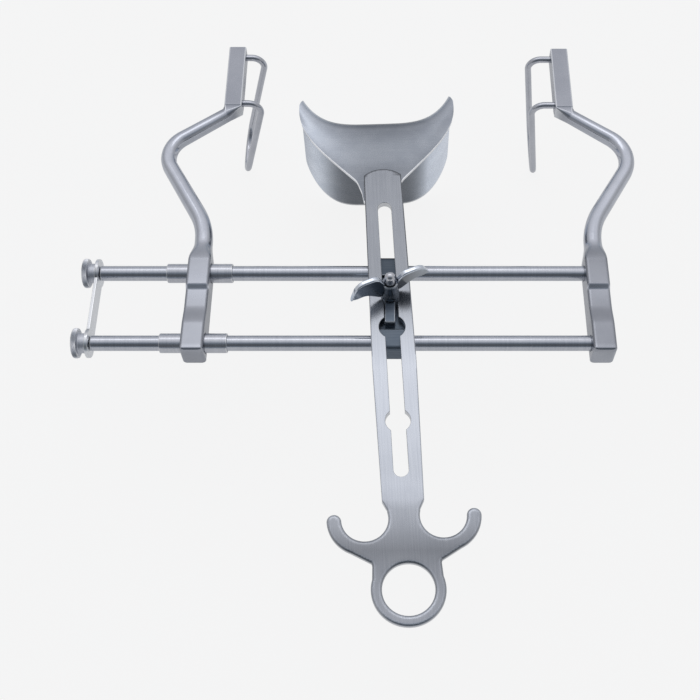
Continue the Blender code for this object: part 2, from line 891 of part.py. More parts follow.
def handle_outline():
    """Flat bar, finger rests, hooks and ring in one outline."""
    shoulder_y = -HANDLE_SHOULDER
    rest = (REST_X, -REST_Y)
    middle = REST_RADIUS + HOOK_WIDTH / 2
    tip = Vector(rest) + middle * Vector((math.cos(HOOK_TIP), math.sin(HOOK_TIP)))
    outer = REST_RADIUS + HOOK_WIDTH
    ring = (0.0, -RING_Y)
    half = HANDLE_REAR_WIDTH / 2
    lean = math.asin((half - 0.0006) / HANDLE_END_RADIUS)
    end_center = (0.0, HANDLE_REAR - HANDLE_END_RADIUS)
    drop = HANDLE_END_RADIUS * (1 - math.cos(lean))
    bar = [
        Vector((0.0, HANDLE_REAR)),
        Vector((half, HANDLE_REAR - drop - 0.0006)),
        Vector((HANDLE_WIDTH / 2, -0.040)),
        Vector((HANDLE_SHOULDER_WIDTH / 2, shoulder_y)),
        Vector((REST_X - REST_RADIUS * 0.97, shoulder_y - 0.0045)),
    ]
    right = arc(end_center, HANDLE_END_RADIUS, math.pi / 2, math.pi / 2 - lean, 6)
    right += rounded_path(bar, (0.0, 0.0, 0.30, 0.0012, 0.0))[1:]
    right += arc(rest, REST_RADIUS, math.radians(165), math.radians(360) + HOOK_TIP, 15)
    right += arc(tip, HOOK_WIDTH / 2, math.pi + HOOK_TIP, HOOK_TIP, 8)[1:-1]
    right += arc(rest, outer, HOOK_TIP, math.radians(-70), 8)
    crotch_y = -RING_Y + RING_OUTER * 0.79
    right.append(Vector((RING_OUTER * 0.95, crotch_y + 0.0004)))
    right.append(Vector((RING_OUTER * 0.93, crotch_y - 0.0006)))
    right += arc(ring, RING_OUTER, math.radians(18), math.radians(-90), 12)
    left = [Vector((-p.x, p.y)) for p in reversed(right[1:-1])]
    return right + left


def slot_outline():
    """Long slot with its two keyholes."""
    half = SLOT_WIDTH / 2
    right = arc((0.0, -SLOT_FRONT + half), half, -math.pi / 2, 0.0, 6)
    for place, dia in reversed(KEYHOLES):
        mouth = math.acos(SLOT_WIDTH / dia)
        right += arc((0.0, -place), dia / 2, -mouth, mouth, 10)
    right += arc((0.0, SLOT_REAR - half), half, 0.0, math.pi / 2, 6)
    left = [Vector((-p.x, p.y)) for p in reversed(right[1:-1])]
    return right + left


def make_handle(kit, mats, block):
    """Slotted handle and the centre blade brazed under its end."""
    middle = BOSS_TOP + SEAT_GAP + HANDLE_THICK / 2
    hole = arc((0.0, -RING_Y), RING_INNER, 0.0, math.tau * 39 / 40, 39)
    handle = flat_outline(
        "blade_handle",
        [handle_outline(), slot_outline(), hole],
        HANDLE_THICK,
        kit,
        mats["steel"],
        edge=HANDLE_EDGE,
        parent=block,
        location=(0.0, STUD_Y, middle),
        rotation=(0.0, 0.0, HANDLE_TURN),
    )
    return handle


def rim_y(x):
    """Front rim of the blade's flange at a distance from its middle."""
    neck = HANDLE_REAR_WIDTH / 2
    if x < neck * 0.9:
        return BLADE_FRONT
    t = (x - neck * 0.9) / (BLADE_HALF_WIDTH - neck * 0.9)
    start = BLADE_FRONT + 0.0100
    return start + (HORN_FRONT_Y - start) * (0.72 * t + 0.28 * t**5)


def blade_profile(x, count):
    """Side profile of the blade's inner face at a distance from its middle."""
    t = abs(x) / BLADE_HALF_WIDTH
    sweep = BLADE_SWEEP * t**3.4
    back = BLADE_BEND_Y - BLADE_THICK + sweep
    top = BOSS_TOP - BLADE_THICK
    rim = Vector((rim_y(abs(x)), top))
    crest = Vector((back, top + BLADE_RISE))
    over = max(0.0, abs(x) - (BLADE_HALF_WIDTH - BLADE_CORNER))
    lift = BLADE_CORNER - math.sqrt(max(0.0, BLADE_CORNER**2 - over**2))
    foot = Vector((back, -BLADE_FOOT + lift * 0.9))
    bend = min(BLADE_BEND_RADIUS, (crest - rim).length * 0.8)
    turn = round_corner(rim, crest, foot, bend, 0.1, 7)
    flat = max(rim.x, min(HANDLE_REAR + BLADE_THICK, turn[0].x))
    run = []
    for i in range(count):
        y = rim.x + (turn[0].x - rim.x) * i / count
        rise = blend(0.0, 1.0, (y - flat) / max(0.0001, turn[0].x - flat))
        run.append(Vector((y, top + (turn[0].y - top) * rise)))
    fall = [turn[-1] + (foot - turn[-1]) * (i + 1) / count for i in range(count)]
    return run + turn + fall


def make_blade(kit, mats, handle):
    """Saddle-shaped sheet: flange, bend and hanging plate."""
    neck = HANDLE_REAR_WIDTH / 2
    half = [0.0, neck * 0.55, neck * 0.9, neck * 1.06]
    steps = 9
    for i in range(1, steps + 1):
        t = 1 - (1 - i / steps) ** 1.25
        half.append(neck * 1.06 + (BLADE_HALF_WIDTH - neck * 1.06) * t)
    columns = [-x for x in reversed(half[1:])] + half
    mesh = bpy.data.meshes.new("centre_blade")
    work = bmesh.new()
    rows = []
    for x in columns:
        rows.append([work.verts.new((x, p.x, p.y)) for p in blade_profile(x, 4)])
    size = min(len(row) for row in rows)
    for row, following in zip(rows, rows[1:]):
        for i in range(size - 1):
            work.faces.new((row[i], following[i], following[i + 1], row[i + 1]))
    work.to_mesh(mesh)
    work.free()
    smooth(mesh)
    level = -(BOSS_TOP + SEAT_GAP + HANDLE_THICK / 2)
    blade = add_object("centre_blade", mesh, kit, mats["steel"], handle, (0.0, 0.0, level))
    shell = blade.modifiers.new("sheet", "SOLIDIFY")
    shell.thickness = BLADE_THICK
    shell.offset = 1.0
    return blade


def seat_on_origin(datum, kit):
    """Move the datum so that the origin is under the middle of the instrument."""
    bpy.context.view_layer.update()
    graph = bpy.context.evaluated_depsgraph_get()
    low = Vector((1.0, 1.0, 1.0))
    high = -low
    for obj in kit["parts"].objects:
        if obj.type not in {"MESH", "CURVE"}:
            continue
        shape = obj.evaluated_get(graph)
        mesh = shape.to_mesh()
        for vert in mesh.vertices:
            point = shape.matrix_world @ vert.co
            low = Vector(map(min, low, point))
            high = Vector(map(max, high, point))
        shape.to_mesh_clear()
    middle = (low + high) / 2
    datum.location = (-middle.x, -middle.y, -low.z)
    bpy.context.view_layer.update()


def main():
    """Model the retractor."""
    clear_scene()
    parts, cutters = make_collections()
    kit = {"parts": parts, "cutters": cutters}
    mats = {
        "steel": make_material("satin_steel", STEEL, 0.36),
        "polished": make_material("polished_steel", POLISHED, 0.2),
        "dark": make_material("dark_polished_steel", DARK_STEEL, 0.25),
    }
    datum = add_empty("rail_plane_datum", kit)
    make_rails(kit, mats, datum)
    make_fixed_arm(kit, mats, datum)
    make_sliding_arm(kit, mats, datum)
    make_end_strap(kit, mats, datum)
    block = make_carriage(kit, mats, datum)
    handle = make_handle(kit, mats, block)
    make_blade(kit, mats, handle)
    seat_on_origin(datum, kit)


if __name__ == "__main__":
    main()
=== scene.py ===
"""Abdominal retractor: the dressed model, its finishes, the studio and the camera.

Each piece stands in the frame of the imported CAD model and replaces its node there.
The rails run along X, the finger ring points to -Y and the blades hang to -Z.
All sizes are in metres.
"""

import logging
import math
from dataclasses import dataclass, field
from enum import Enum
from typing import Callable, Sequence, Union

import bmesh
import bpy
from mathutils import Matrix, Vector
from mathutils.kdtree import KDTree


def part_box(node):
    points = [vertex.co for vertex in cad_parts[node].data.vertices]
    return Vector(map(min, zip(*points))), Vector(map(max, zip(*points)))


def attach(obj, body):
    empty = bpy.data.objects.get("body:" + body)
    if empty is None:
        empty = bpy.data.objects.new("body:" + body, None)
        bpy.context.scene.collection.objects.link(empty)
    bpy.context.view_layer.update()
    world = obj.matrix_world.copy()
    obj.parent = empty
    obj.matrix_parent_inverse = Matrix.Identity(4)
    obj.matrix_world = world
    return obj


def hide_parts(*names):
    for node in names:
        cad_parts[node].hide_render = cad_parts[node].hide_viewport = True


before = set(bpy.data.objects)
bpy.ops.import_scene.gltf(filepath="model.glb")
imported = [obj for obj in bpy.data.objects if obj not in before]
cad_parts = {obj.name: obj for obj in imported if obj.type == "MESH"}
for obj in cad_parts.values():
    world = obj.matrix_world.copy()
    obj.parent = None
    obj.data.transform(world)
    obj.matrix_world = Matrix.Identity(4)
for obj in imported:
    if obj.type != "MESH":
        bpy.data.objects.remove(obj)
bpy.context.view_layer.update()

LOG = logging.getLogger("retractor")
Color = tuple[float, float, float]
Flat = Sequence[Vector]
Value = Union[float, "Signal"]
Pair = tuple[float, float]


class Body(Enum):
    """The CAD bodies that the pieces ride on."""

    FRAME = "frame"
    SLIDING_SIDE = "sliding_side"
    CLAMP = "clamp"
    BLADE = "blade"
    WING_NUT = "wing_nut"
    FRONT_NUT = "front_thumb_nut"
    REAR_NUT = "rear_thumb_nut"


class Side(Enum):
    """Which way an arm bows out from the middle of the instrument."""

    RIGHT = 1
    LEFT = -1


class Lay(Enum):
    """The way that the grinding or turning marks run on a piece."""

    ALONG_X = (40.0, 1500.0, 1500.0)
    ALONG_Y = (1500.0, 36.0, 1500.0)
    AROUND_X = (1700.0, 24.0, 24.0)
    AROUND_Z = (24.0, 24.0, 1700.0)
    BLASTED = (900.0, 900.0, 900.0)


# Shader signals


class Signal:
    """A shader value that Python arithmetic works on."""

    def __init__(self, sheet: "NodeSheet", socket: bpy.types.NodeSocket) -> None:
        """Wrap one output socket of a node sheet."""
        self.sheet = sheet
        self.socket = socket

    def _math(self, operation: str, first: Value, second: Value) -> "Signal":
        """Add one Math node.

        Args:
            operation: Name of the Math node's operation.
            first: Left side.
            second: Right side.

        Returns:
            The node's result.
        """
        inputs = {0: first, 1: second}
        return self.sheet.node("ShaderNodeMath", {"operation": operation}, inputs)

    def __add__(self, other: Value) -> "Signal":
        """Sum."""
        return self._math("ADD", self, other)

    def __radd__(self, other: Value) -> "Signal":
        """Sum, reflected."""
        return self._math("ADD", other, self)

    def __sub__(self, other: Value) -> "Signal":
        """Difference."""
        return self._math("SUBTRACT", self, other)

    def __rsub__(self, other: Value) -> "Signal":
        """Difference, reflected."""
        return self._math("SUBTRACT", other, self)

    def __mul__(self, other: Value) -> "Signal":
        """Product."""
        return self._math("MULTIPLY", self, other)

    def __rmul__(self, other: Value) -> "Signal":
        """Product, reflected."""
        return self._math("MULTIPLY", other, self)

    def __abs__(self) -> "Signal":
        """Size without its sign."""
        return self._math("ABSOLUTE", self, 0.0)

    def arctan2(self, other: Value) -> "Signal":
        """Angle of the point that has this value above the other."""
        return self._math("ARCTAN2", self, other)

    def ease(self, low: float, high: float) -> "Signal":
        """Step smoothly from 0 at low to 1 at high."""
        return self.sheet.node(
            "ShaderNodeMapRange",
            {"interpolation_type": "SMOOTHSTEP"},
            {"Value": self, "From Min": low, "From Max": high},
        )


class NodeSheet:
    """One shader tree, filled node by node."""

    def __init__(self, tree: bpy.types.NodeTree) -> None:
        """Start from an empty tree."""
        tree.nodes.clear()
        self.tree = tree

    def node(
        self,
        kind: str,
        settings: dict[str, object] | None = None,
        inputs: dict[object, object] | None = None,
        output: object = 0,
    ) -> Signal:
        """Add a node with its settings and inputs.

        Args:
            kind: Blender's name of the node type.
            settings: Properties of the node; "stops" holds a ramp's stops.
            inputs: Values or signals by socket name or number.
            output: Name or number of the socket that the signal wraps.

        Returns:
            The chosen output.
        """
        made = self.tree.nodes.new(kind)
        for key, value in (settings or {}).items():
            if key == "stops":
                self._stops(made, value)
            else:
                setattr(made, key, value)
        for key, value in (inputs or {}).items():
            if isinstance(value, Signal):
                self.tree.links.new(value.socket, made.inputs[key])
            else:
                made.inputs[key].default_value = value
        return Signal(self, made.outputs[output])

    @staticmethod
    def _stops(made: bpy.types.Node, stops: Sequence[tuple[float, Color]]) -> None:
        """Set the stops of a colour ramp.

        Args:
            made: The ramp's node.
            stops: Place and colour of each stop, in order.
        """
        ramp = made.color_ramp
        while len(ramp.elements) < len(stops):
            ramp.elements.new(1.0)
        for element, (place, color) in zip(ramp.elements, stops):
            element.position = place
            element.color = (*color, 1.0)

    def mix(self, factor: Value, low: object, high: object) -> Signal:
        """Mix two colours by a factor."""
        inputs = {"Factor": factor, 6: low, 7: high}
        return self.node("ShaderNodeMix", {"data_type": "RGBA"}, inputs, 2)

    def times(self, first: Signal, second: Signal) -> Signal:
        """Multiply two colours."""
        settings = {"data_type": "RGBA", "blend_type": "MULTIPLY"}
        return self.node("ShaderNodeMix", settings, {"Factor": 1.0, 6: first, 7: second}, 2)

    def layer(self, name: str) -> Signal:
        """Read one of the mesh's own layers."""
        return self.node("ShaderNodeAttribute", {"attribute_name": name}, output="Fac")

    def noise(self, place: Signal, scale: float, detail: float, rough: float = 0.5) -> Signal:
        """Add cloudy noise.

        Args:
            place: Coordinates.
            scale: Clouds per unit.
            detail: Number of finer octaves.
            rough: Weight of the finer octaves.

        Returns:
            The noise.
        """
        inputs = {"Vector": place, "Scale": scale, "Detail": detail, "Roughness": rough}
        return self.node("ShaderNodeTexNoise", None, inputs)

    def result(self, kind: str, shader: Signal) -> None:
        """End the sheet with its output node.

        Args:
            kind: Output node's type.
            shader: What shows on the surface.
        """
        made = self.tree.nodes.new(kind)
        self.tree.links.new(shader.socket, made.inputs["Surface"])


MADE: dict[str, bpy.types.Material] = {}


@dataclass(frozen=True)
class Finish:
    """A metal surface, with its working marks, soft stains, edges brightened by handling and by a
    painted edge highlight, and painted light and shade.
    """

    name: str
    slot: str
    tint: Color
    shade: Color
    roughness: float
    lay: Lay
    turn: float = 0.0
    marks: float = 0.35
    relief: float = 0.000012
    stains: float = 0.35
    stain_scale: float = 110.0
    worn_glint: Color = (0.74, 0.75, 0.77)
    # Painted light and shade: brightness gains at places along Y.
    light_bands: tuple[Pair, ...] = ()
    gloss: float = 0.0
    gloss_level: float = 0.8
    drift_scale: float = 26.0
    shade_ends: Pair = (0.32, 0.66)
    # Edge mask: brightening by handling together with a painted edge highlight.
    wear_glint_ends: Pair = (0.25, 1.0)
    wear_glint_even: float = 0.75
    wear_glint_patchy: float = 0.5
    wear_glint_cover: float = 0.8
    wear_glint_smooths: float = 0.35
    rough_even: float = 0.82
    rough_cloud: float = 0.24
    rough_fine: float = 0.12
    bump_strength: float = 0.6
    bump_cloud: float = 0.5

    def painted_bands(self, sheet: NodeSheet, place: Signal) -> Signal | None:
        """Painted light and shade along Y: a gain that brightens or darkens stretches of one piece as
        the studio light falls on them.

        Args:
            sheet: The shader tree.
            place: Object coordinates.

        Returns:
            The painted light to multiply by, or nothing for an even piece.
        """
        if not self.light_bands:
            return None
        split = sheet.node("ShaderNodeSeparateXYZ", None, {"Vector": place}, 1)
        first = self.light_bands[0][0]
        length = self.light_bands[-1][0] - first
        stops = [((at - first) / length, (gain, gain, gain)) for at, gain in self.light_bands]
        along = (split - first) * (1.0 / length)
        return sheet.node("ShaderNodeValToRGB", {"stops": stops}, {"Fac": along}, "Color")

    def material(self) -> bpy.types.Material:
        """Make the finish as a material.

        Returns:
            The node-based material.
        """
        if self.name in MADE:
            return MADE[self.name]
        mat = bpy.data.materials.new(self.name)
        MADE[self.name] = mat
        mat.use_nodes = True
        sheet = NodeSheet(mat.node_tree)
        place = sheet.node("ShaderNodeTexCoord", output="Object")
        drawn = sheet.node(
            "ShaderNodeMapping",
            {"vector_type": "TEXTURE"},
            {
                "Vector": place,
                "Rotation": (0.0, 0.0, self.turn),
                "Scale": tuple(1.0 / rate for rate in self.lay.value),
            },
        )
        fine = sheet.noise(drawn, 1.0, 3.0)
        cloud = sheet.noise(place, self.stain_scale, 4.0, 0.6)
        wide = sheet.noise(place, self.drift_scale, 1.0)
        # Edge mask: brightening by handling together with a painted edge highlight.
        wear_glint = sheet.layer("wear_glint")
        bare_and_glint = (wear_glint * (self.wear_glint_even + cloud * self.wear_glint_patchy)).ease(*self.wear_glint_ends)
        tone = fine * self.marks + cloud * self.stains
        tone = tone + wide * (1.0 - self.marks - self.stains)
        shading = tone.ease(*self.shade_ends)
        plain = sheet.mix(shading, (*self.shade, 1.0), (*self.tint, 1.0))
        # Painted light and shade per vertex: painted highlights, painted shade and lit or shaded sides,
        # read from the mesh's tone layer.
        painted_light_at = sheet.layer("tone")
        painted_grey = sheet.node("ShaderNodeCombineColor", None, {0: painted_light_at, 1: painted_light_at, 2: painted_light_at})
        toned = sheet.times(plain, painted_grey)
        # Painted light and shade along Y, multiplied in.
        light_band = self.painted_bands(sheet, place)
        body = toned if light_band is None else sheet.times(toned, light_band)
        color = sheet.mix(bare_and_glint * self.wear_glint_cover, body, (*self.worn_glint, 1.0))
        uneven = self.rough_even + cloud * self.rough_cloud + fine * self.rough_fine
        rough = self.roughness * uneven * (1.0 - bare_and_glint * self.wear_glint_smooths)
        if light_band is not None and self.gloss:
            rough = rough * (1.0 + self.gloss_level * self.gloss - light_band * self.gloss)
        height = fine + cloud * self.bump_cloud
        bump = sheet.node(
            "ShaderNodeBump",
            None,
            {"Strength": self.bump_strength, "Distance": self.relief, "Height": height},
        )
        shader = sheet.node(
            "ShaderNodeBsdfPrincipled",
            None,
            {"Base Color": color, "Roughness": rough, "Metallic": 1.0, "Normal": bump},
        )
        sheet.result("ShaderNodeOutputMaterial", shader)
        return mat


SATIN = Finish(
    "forged_satin_steel", "satin_steel", (0.480, 0.500, 0.550), (0.410, 0.430, 0.480),
    # Light edge colour: brightening by handling together with a painted edge highlight.
    0.27, Lay.BLASTED, marks=0.12, worn_glint=(0.78, 0.80, 0.83), gloss=1.2,
    # Painted light and shade along Y: the crossbar shaded, the curved bars lit, the loop blocks shaded
    # again.
    light_bands=(
        (-0.040, 0.88), (-0.032, 0.88), (-0.030, 0.74), (0.020, 0.76), (0.038, 1.10),
        (0.060, 1.18), (0.118, 1.10), (0.128, 0.80), (0.180, 0.80),
    ),
)
STRAP_STEEL = Finish(
    "rolled_strap_steel", "satin_steel", (0.79, 0.81, 0.84), (0.70, 0.72, 0.75),
    0.28, Lay.ALONG_Y, marks=0.4,
)
BLADE_SATIN = Finish(
    "blade_sheet_steel", "satin_steel", (0.645, 0.690, 0.765), (0.525, 0.570, 0.645),
    # Near-white edge colour: a painted highlight along the flange's front rim, with brightening by
    # handling.
    0.27, Lay.ALONG_X, marks=0.22, stains=0.45, worn_glint=(0.97, 0.98, 1.0),
)
BRUSHED = Finish(
    "brushed_handle_steel", "satin_steel", (0.578, 0.607, 0.660), (0.488, 0.517, 0.570),
    0.27, Lay.ALONG_Y, turn=math.radians(3.1), marks=0.5, stains=0.2,
    # Painted light and shade along Y: the ring end and the rear half shaded, the bar in front of the
    # slot lit.
    light_bands=(
        (-0.175, 0.68), (-0.148, 0.49), (-0.140, 0.40), (-0.128, 0.60), (-0.120, 0.68),
        (-0.115, 0.86), (-0.108, 0.90), (-0.100, 0.84), (-0.045, 0.82), (-0.030, 0.74),
        (0.010, 0.45), (0.045, 0.52), (0.075, 0.55),
    ),
)
RAIL_POLISH = Finish(
    "ground_rail_steel", "polished_steel", (0.545, 0.565, 0.615), (0.475, 0.495, 0.545),
    0.20, Lay.AROUND_X, marks=0.6, stains=0.1, relief=0.000004,
)
BUSHING_POLISH = Finish(
    "turned_bushing_steel", "polished_steel", (0.57, 0.585, 0.63), (0.48, 0.495, 0.54),
    0.24, Lay.AROUND_X, marks=0.6, stains=0.1, relief=0.000006,
)
WIRE_POLISH = Finish(
    "drawn_wire_steel", "polished_steel", (0.56, 0.575, 0.62), (0.46, 0.475, 0.52),
    0.20, Lay.BLASTED, marks=0.2, relief=0.000004,
)
STUD_POLISH = Finish(
    "turned_stud_steel", "polished_steel", (0.60, 0.61, 0.64), (0.50, 0.51, 0.55),
    0.15, Lay.AROUND_Z, marks=0.6, stains=0.1, relief=0.000005,
)
KNURLED = Finish(
    "knurled_nut_steel", "satin_steel", (0.64, 0.66, 0.71), (0.48, 0.50, 0.55),
    0.46, Lay.AROUND_X, marks=0.4,
)
DARK_POLISH = Finish(
    "wing_nut_steel", "dark_polished_steel", (0.55, 0.61, 0.69), (0.43, 0.49, 0.57),
    0.20, Lay.BLASTED, marks=0.2, worn_glint=(0.78, 0.80, 0.84),
)
# Very dark tint that takes in the shade under the handle and the wing nut, partly painted shade; along
# Y, painted light on the key from its front to the stud and painted shade behind the stud.
CARRIAGE_STEEL = Finish(
    "milled_carriage_steel", "satin_steel", (0.142, 0.170, 0.205), (0.098, 0.122, 0.155),
    0.40, Lay.ALONG_X, marks=0.4, worn_glint=(0.38, 0.40, 0.43),
    light_bands=(
        (-0.034, 1.0), (-0.020, 1.0), (-0.018, 1.24), (-0.002, 1.24), (0.002, 0.60), (0.024, 0.60),
    ),
)


# Flat drawing


def arc(center: Pair, radius: float, start: float, end: float, steps: int) -> list[Vector]:
    """Points of a flat arc, both ends included.

    Args:
        center: Middle of the arc.
        radius: Radius of the arc.
        start: First angle.
        end: Last angle.
        steps: Number of equal steps between them.

    Returns:
        The points in order.
    """
    points = []
    for i in range(steps + 1):
        angle = start + (end - start) * i / steps
        x = center[0] + radius * math.cos(angle)
        y = center[1] + radius * math.sin(angle)
        points.append(Vector((x, y)))
    return points


def round_corner(
    before: Vector,
    corner: Vector,
    after: Vector,
    radius: float,
    step: float = 0.07,
    count: int = 0,
) -> list[Vector]:
    """Points of the arc that rounds one corner of a path.

    Args:
        before: Neighbouring point on the way in.
        corner: The corner itself.
        after: Neighbouring point on the way out.
        radius: Radius of the rounding.
        step: Largest turn between two points.
        count: Number of steps, where it doesn't follow from the largest turn.

    Returns:
        The arc, or the corner alone where there is nothing to round.
    """
    into = (before - corner).normalized()
    out = (after - corner).normalized()
    opening = into.angle(out)
    if radius <= 0.0 or opening > math.pi - 1e-4:
        return [corner.copy()]
    tangent = radius / math.tan(opening / 2)
    center = corner + (into + out).normalized() * radius / math.sin(opening / 2)
    first = corner + into * tangent - center
    last = corner + out * tangent - center
    turn = first.angle(last)
    count = count or max(3, round(turn / step))
    points = []
    for i in range(count + 1):
        a = math.sin((1 - i / count) * turn) / math.sin(turn)
        b = math.sin(i / count * turn) / math.sin(turn)
        points.append(center + first * a + last * b)
    return points


def rounded_path(
    corners: Flat,
    radii: Sequence[float],
    closed: bool = False,
    step: float = 0.07,
) -> list[Vector]:
    """Round each corner of a polygon or an open path by its own radius.

    Args:
        corners: Corner points in two or three dimensions.
        radii: One radius for each corner.
        closed: Whether the path returns to its start.
        step: Largest turn between two points.

    Returns:
        The rounded path.
    """
    count = len(corners)
    points: list[Vector] = []
    for i, corner in enumerate(corners):
        if not closed and i in (0, count - 1):
            points.append(corner.copy())
            continue
        after = corners[(i + 1) % count]
        points.extend(round_corner(corners[i - 1], corner, after, radii[i], step))
    return points


def ease(low: float, high: float, t: float) -> float:
    """Move smoothly from low to high as t goes from 0 to 1."""
    t = min(1.0, max(0.0, t))
    return low + (high - low) * t * t * (3 - 2 * t)


def height_at(points: Flat, x: float) -> float:
    """Height of an open line at one place along it.

    Args:
        points: Points with rising first coordinates.
        x: Place along the line.

    Returns:
        The height there.
    """
    for a, b in zip(points, points[1:]):
        if a.x <= x <= b.x and b.x > a.x:
            return a.y + (b.y - a.y) * (x - a.x) / (b.x - a.x)
    return points[0].y if x < points[0].x else points[-1].y


ROUND_SHARE = 0.97
CROWN_SHARE = 1.4
HOLD_REACH = 0.0005
HOLD_SHARE = 0.34


def section(width: float, top: float, bottom: float, crown: float, heel: float) -> list[Pair]:
    """Rounded rectangle, with one radius above and one below.

    Args:
        width: Full width.
        top: Height above the middle.
        bottom: Depth below the middle.
        crown: Radius of the upper corners.
        heel: Radius of the lower corners.

    Returns:
        Side and height pairs, counter-clockwise.
    """
    half = width / 2
    crown = min(crown, half * ROUND_SHARE, top * CROWN_SHARE)
    heel = min(heel, half * ROUND_SHARE, bottom * ROUND_SHARE)
    centers = (
        (half - crown, top - crown, crown),
        (crown - half, top - crown, crown),
        (heel - half, heel - bottom, heel),
        (half - heel, heel - bottom, heel),
    )
    corners = []
    for i, (x, y, radius) in enumerate(centers):
        start = i * math.pi / 2
        corners.append(arc((x, y), radius, start, start + math.pi / 2, 8))
    points = []
    for i, corner in enumerate(corners):
        points.extend(corner)
        run = corners[(i + 1) % 4][0] - corner[-1]
        share = min(HOLD_SHARE, HOLD_REACH / max(run.length, 1e-6))
        points.extend([corner[-1] + run * share, corner[-1] + run * (1 - share)])
    return [(p.x, p.y) for p in points]


# Solid modelling


class Rim:
    """Finds how far a point of a plate is from the plate's outlines."""

    SPACING = 0.0006

    def __init__(self, loops: Sequence[Flat]) -> None:
        """Index the outlines by points a small step apart.

        Args:
            loops: The outlines.
        """
        self.runs: list[tuple[Vector, Vector]] = []
        spots = []
        for loop in loops:
            for i, point in enumerate(loop):
                after = loop[(i + 1) % len(loop)]
                count = max(1, math.ceil((after - point).length / self.SPACING))
                run = len(self.runs)
                spots += [(point.lerp(after, (k + 0.5) / count), run) for k in range(count)]
                self.runs.append((point.to_2d(), after.to_2d()))
        self.tree = KDTree(len(spots))
        for spot, run in spots:
            self.tree.insert((spot.x, spot.y, 0.0), run)
        self.tree.balance()

    def distance(self, point: Vector) -> float:
        """Distance of a point from the nearest outline.

        Args:
            point: The point; its height doesn't count.

        Returns:
            The distance.
        """
        flat = point.to_2d()
        nearest = math.inf
        for _, run, _ in self.tree.find_n((point.x, point.y, 0.0), 3):
            start, end = self.runs[run]
            along = end - start
            share = (flat - start).dot(along) / max(along.length_squared, 1e-12)
            foot = start + along * min(1.0, max(0.0, share))
            nearest = min(nearest, (flat - foot).length)
        return nearest


@dataclass(frozen=True)
class Roll:
    """Rims rolled over like a forging's: a quarter circle and a soft crown beside it, with a painted
    highlight on the shoulder and painted shade at the rear end.
    """

    radius: Callable[[float], float]
    crown: Callable[[float], float]
    reach: float
    pitch: float
    zones: tuple[tuple[int, float, float], ...]
    start: float
    # Place along the plate where the painted shade at the rear end starts.
    end_shade: float
    # Edge mask along the rim: handling together with a painted edge highlight.
    wear_glint_most: float = 0.9
    wear_glint_from: float = 0.00005
    wear_glint_width: float = 0.00024
    glint_gain: float = 0.45
    glint_radius: float = 0.00135
    glint_from: float = 0.0009
    glint_width: float = 0.0005
    # Painted shade at the rear end: how it fades in and how dark it is.
    end_shade_fade: float = 0.002
    end_shade_gain: float = 0.6
    end_shade_from: float = 0.0008
    end_shade_width: float = 0.0004
    rim_width: float = 0.0006

    def drop(self, away: float, y: float) -> float:
        """How far the surface drops below the flat.

        Args:
            away: Distance from the rim.
            y: Place along the plate.

        Returns:
            The drop.
        """
        radius = self.radius(y)
        drop = 0.0
        if away < radius:
            drop = radius - math.sqrt(radius**2 - (radius - away) ** 2)
        if away < self.reach:
            drop += self.crown(y) * (1.0 - away / self.reach) ** 2
        return drop

    def glint(self, away: float, y: float) -> float:
        """Painted highlight on the shoulder of a rolled rim: how much brighter it is made.

        Args:
            away: Distance from the rim.
            y: Place along the plate.

        Returns:
            What to add to the brightness.
        """
        share = self.radius(y) / self.glint_radius
        rise = share**4 if y < 0.0 else 0.0
        off = (away - self.glint_from) / self.glint_width
        return self.glint_gain * rise * math.exp(-(off**2))

    def surface(self, away: float, y: float) -> Pair:
        """Edge mask and painted light of a point of the rim.

        Args:
            away: Distance from the rim.
            y: Place along the plate.

        Returns:
            Edge mask, with its painted edge highlight, and brightness with a painted highlight and
            painted shade.
        """
        # Painted shade at the rear end: a dark line where the handle meets the flange, with no edge
        # highlight there.
        end_shade = ease(0.0, 1.0, (y - self.end_shade) / self.end_shade_fade)
        wear_glint = ease(self.wear_glint_most, 0.0, (away - self.wear_glint_from) / self.wear_glint_width) * (1.0 - end_shade)
        dark = self.end_shade_gain * end_shade * ease(1.0, 0.0, (away - self.end_shade_from) / self.end_shade_width)
        return wear_glint, 1.0 + self.glint(away, y) - dark

    def inside(self, item: object, low: float, high: float, axis: int) -> bool:
        """Whether a face, edge or vertex reaches into a zone of the plate.

        Args:
            item: The face, edge or vertex.
            low: Start of the zone.
            high: End of the zone.
            axis: What the scored lines stand across: 0 is X, in the ring end alone, and 1 is Y.

        Returns:
            Whether it is cut there.
        """
        verts = [item] if isinstance(item, bmesh.types.BMVert) else item.verts
        if axis == 0:
            return all(vert.co.y < self.start + 1e-5 for vert in verts)
        places = [vert.co.y for vert in verts]
        return max(places) > low and min(places) < high


def linked(name: str, data: bpy.types.ID | None) -> bpy.types.Object:
    """Make an object for a mesh, curve, lamp or camera and link it to the scene.

    Args:
        name: Name of the object.
        data: What it holds.

    Returns:
        The object.
    """
    made = bpy.data.objects.new(name, data)
    bpy.context.scene.collection.objects.link(made)
    return made


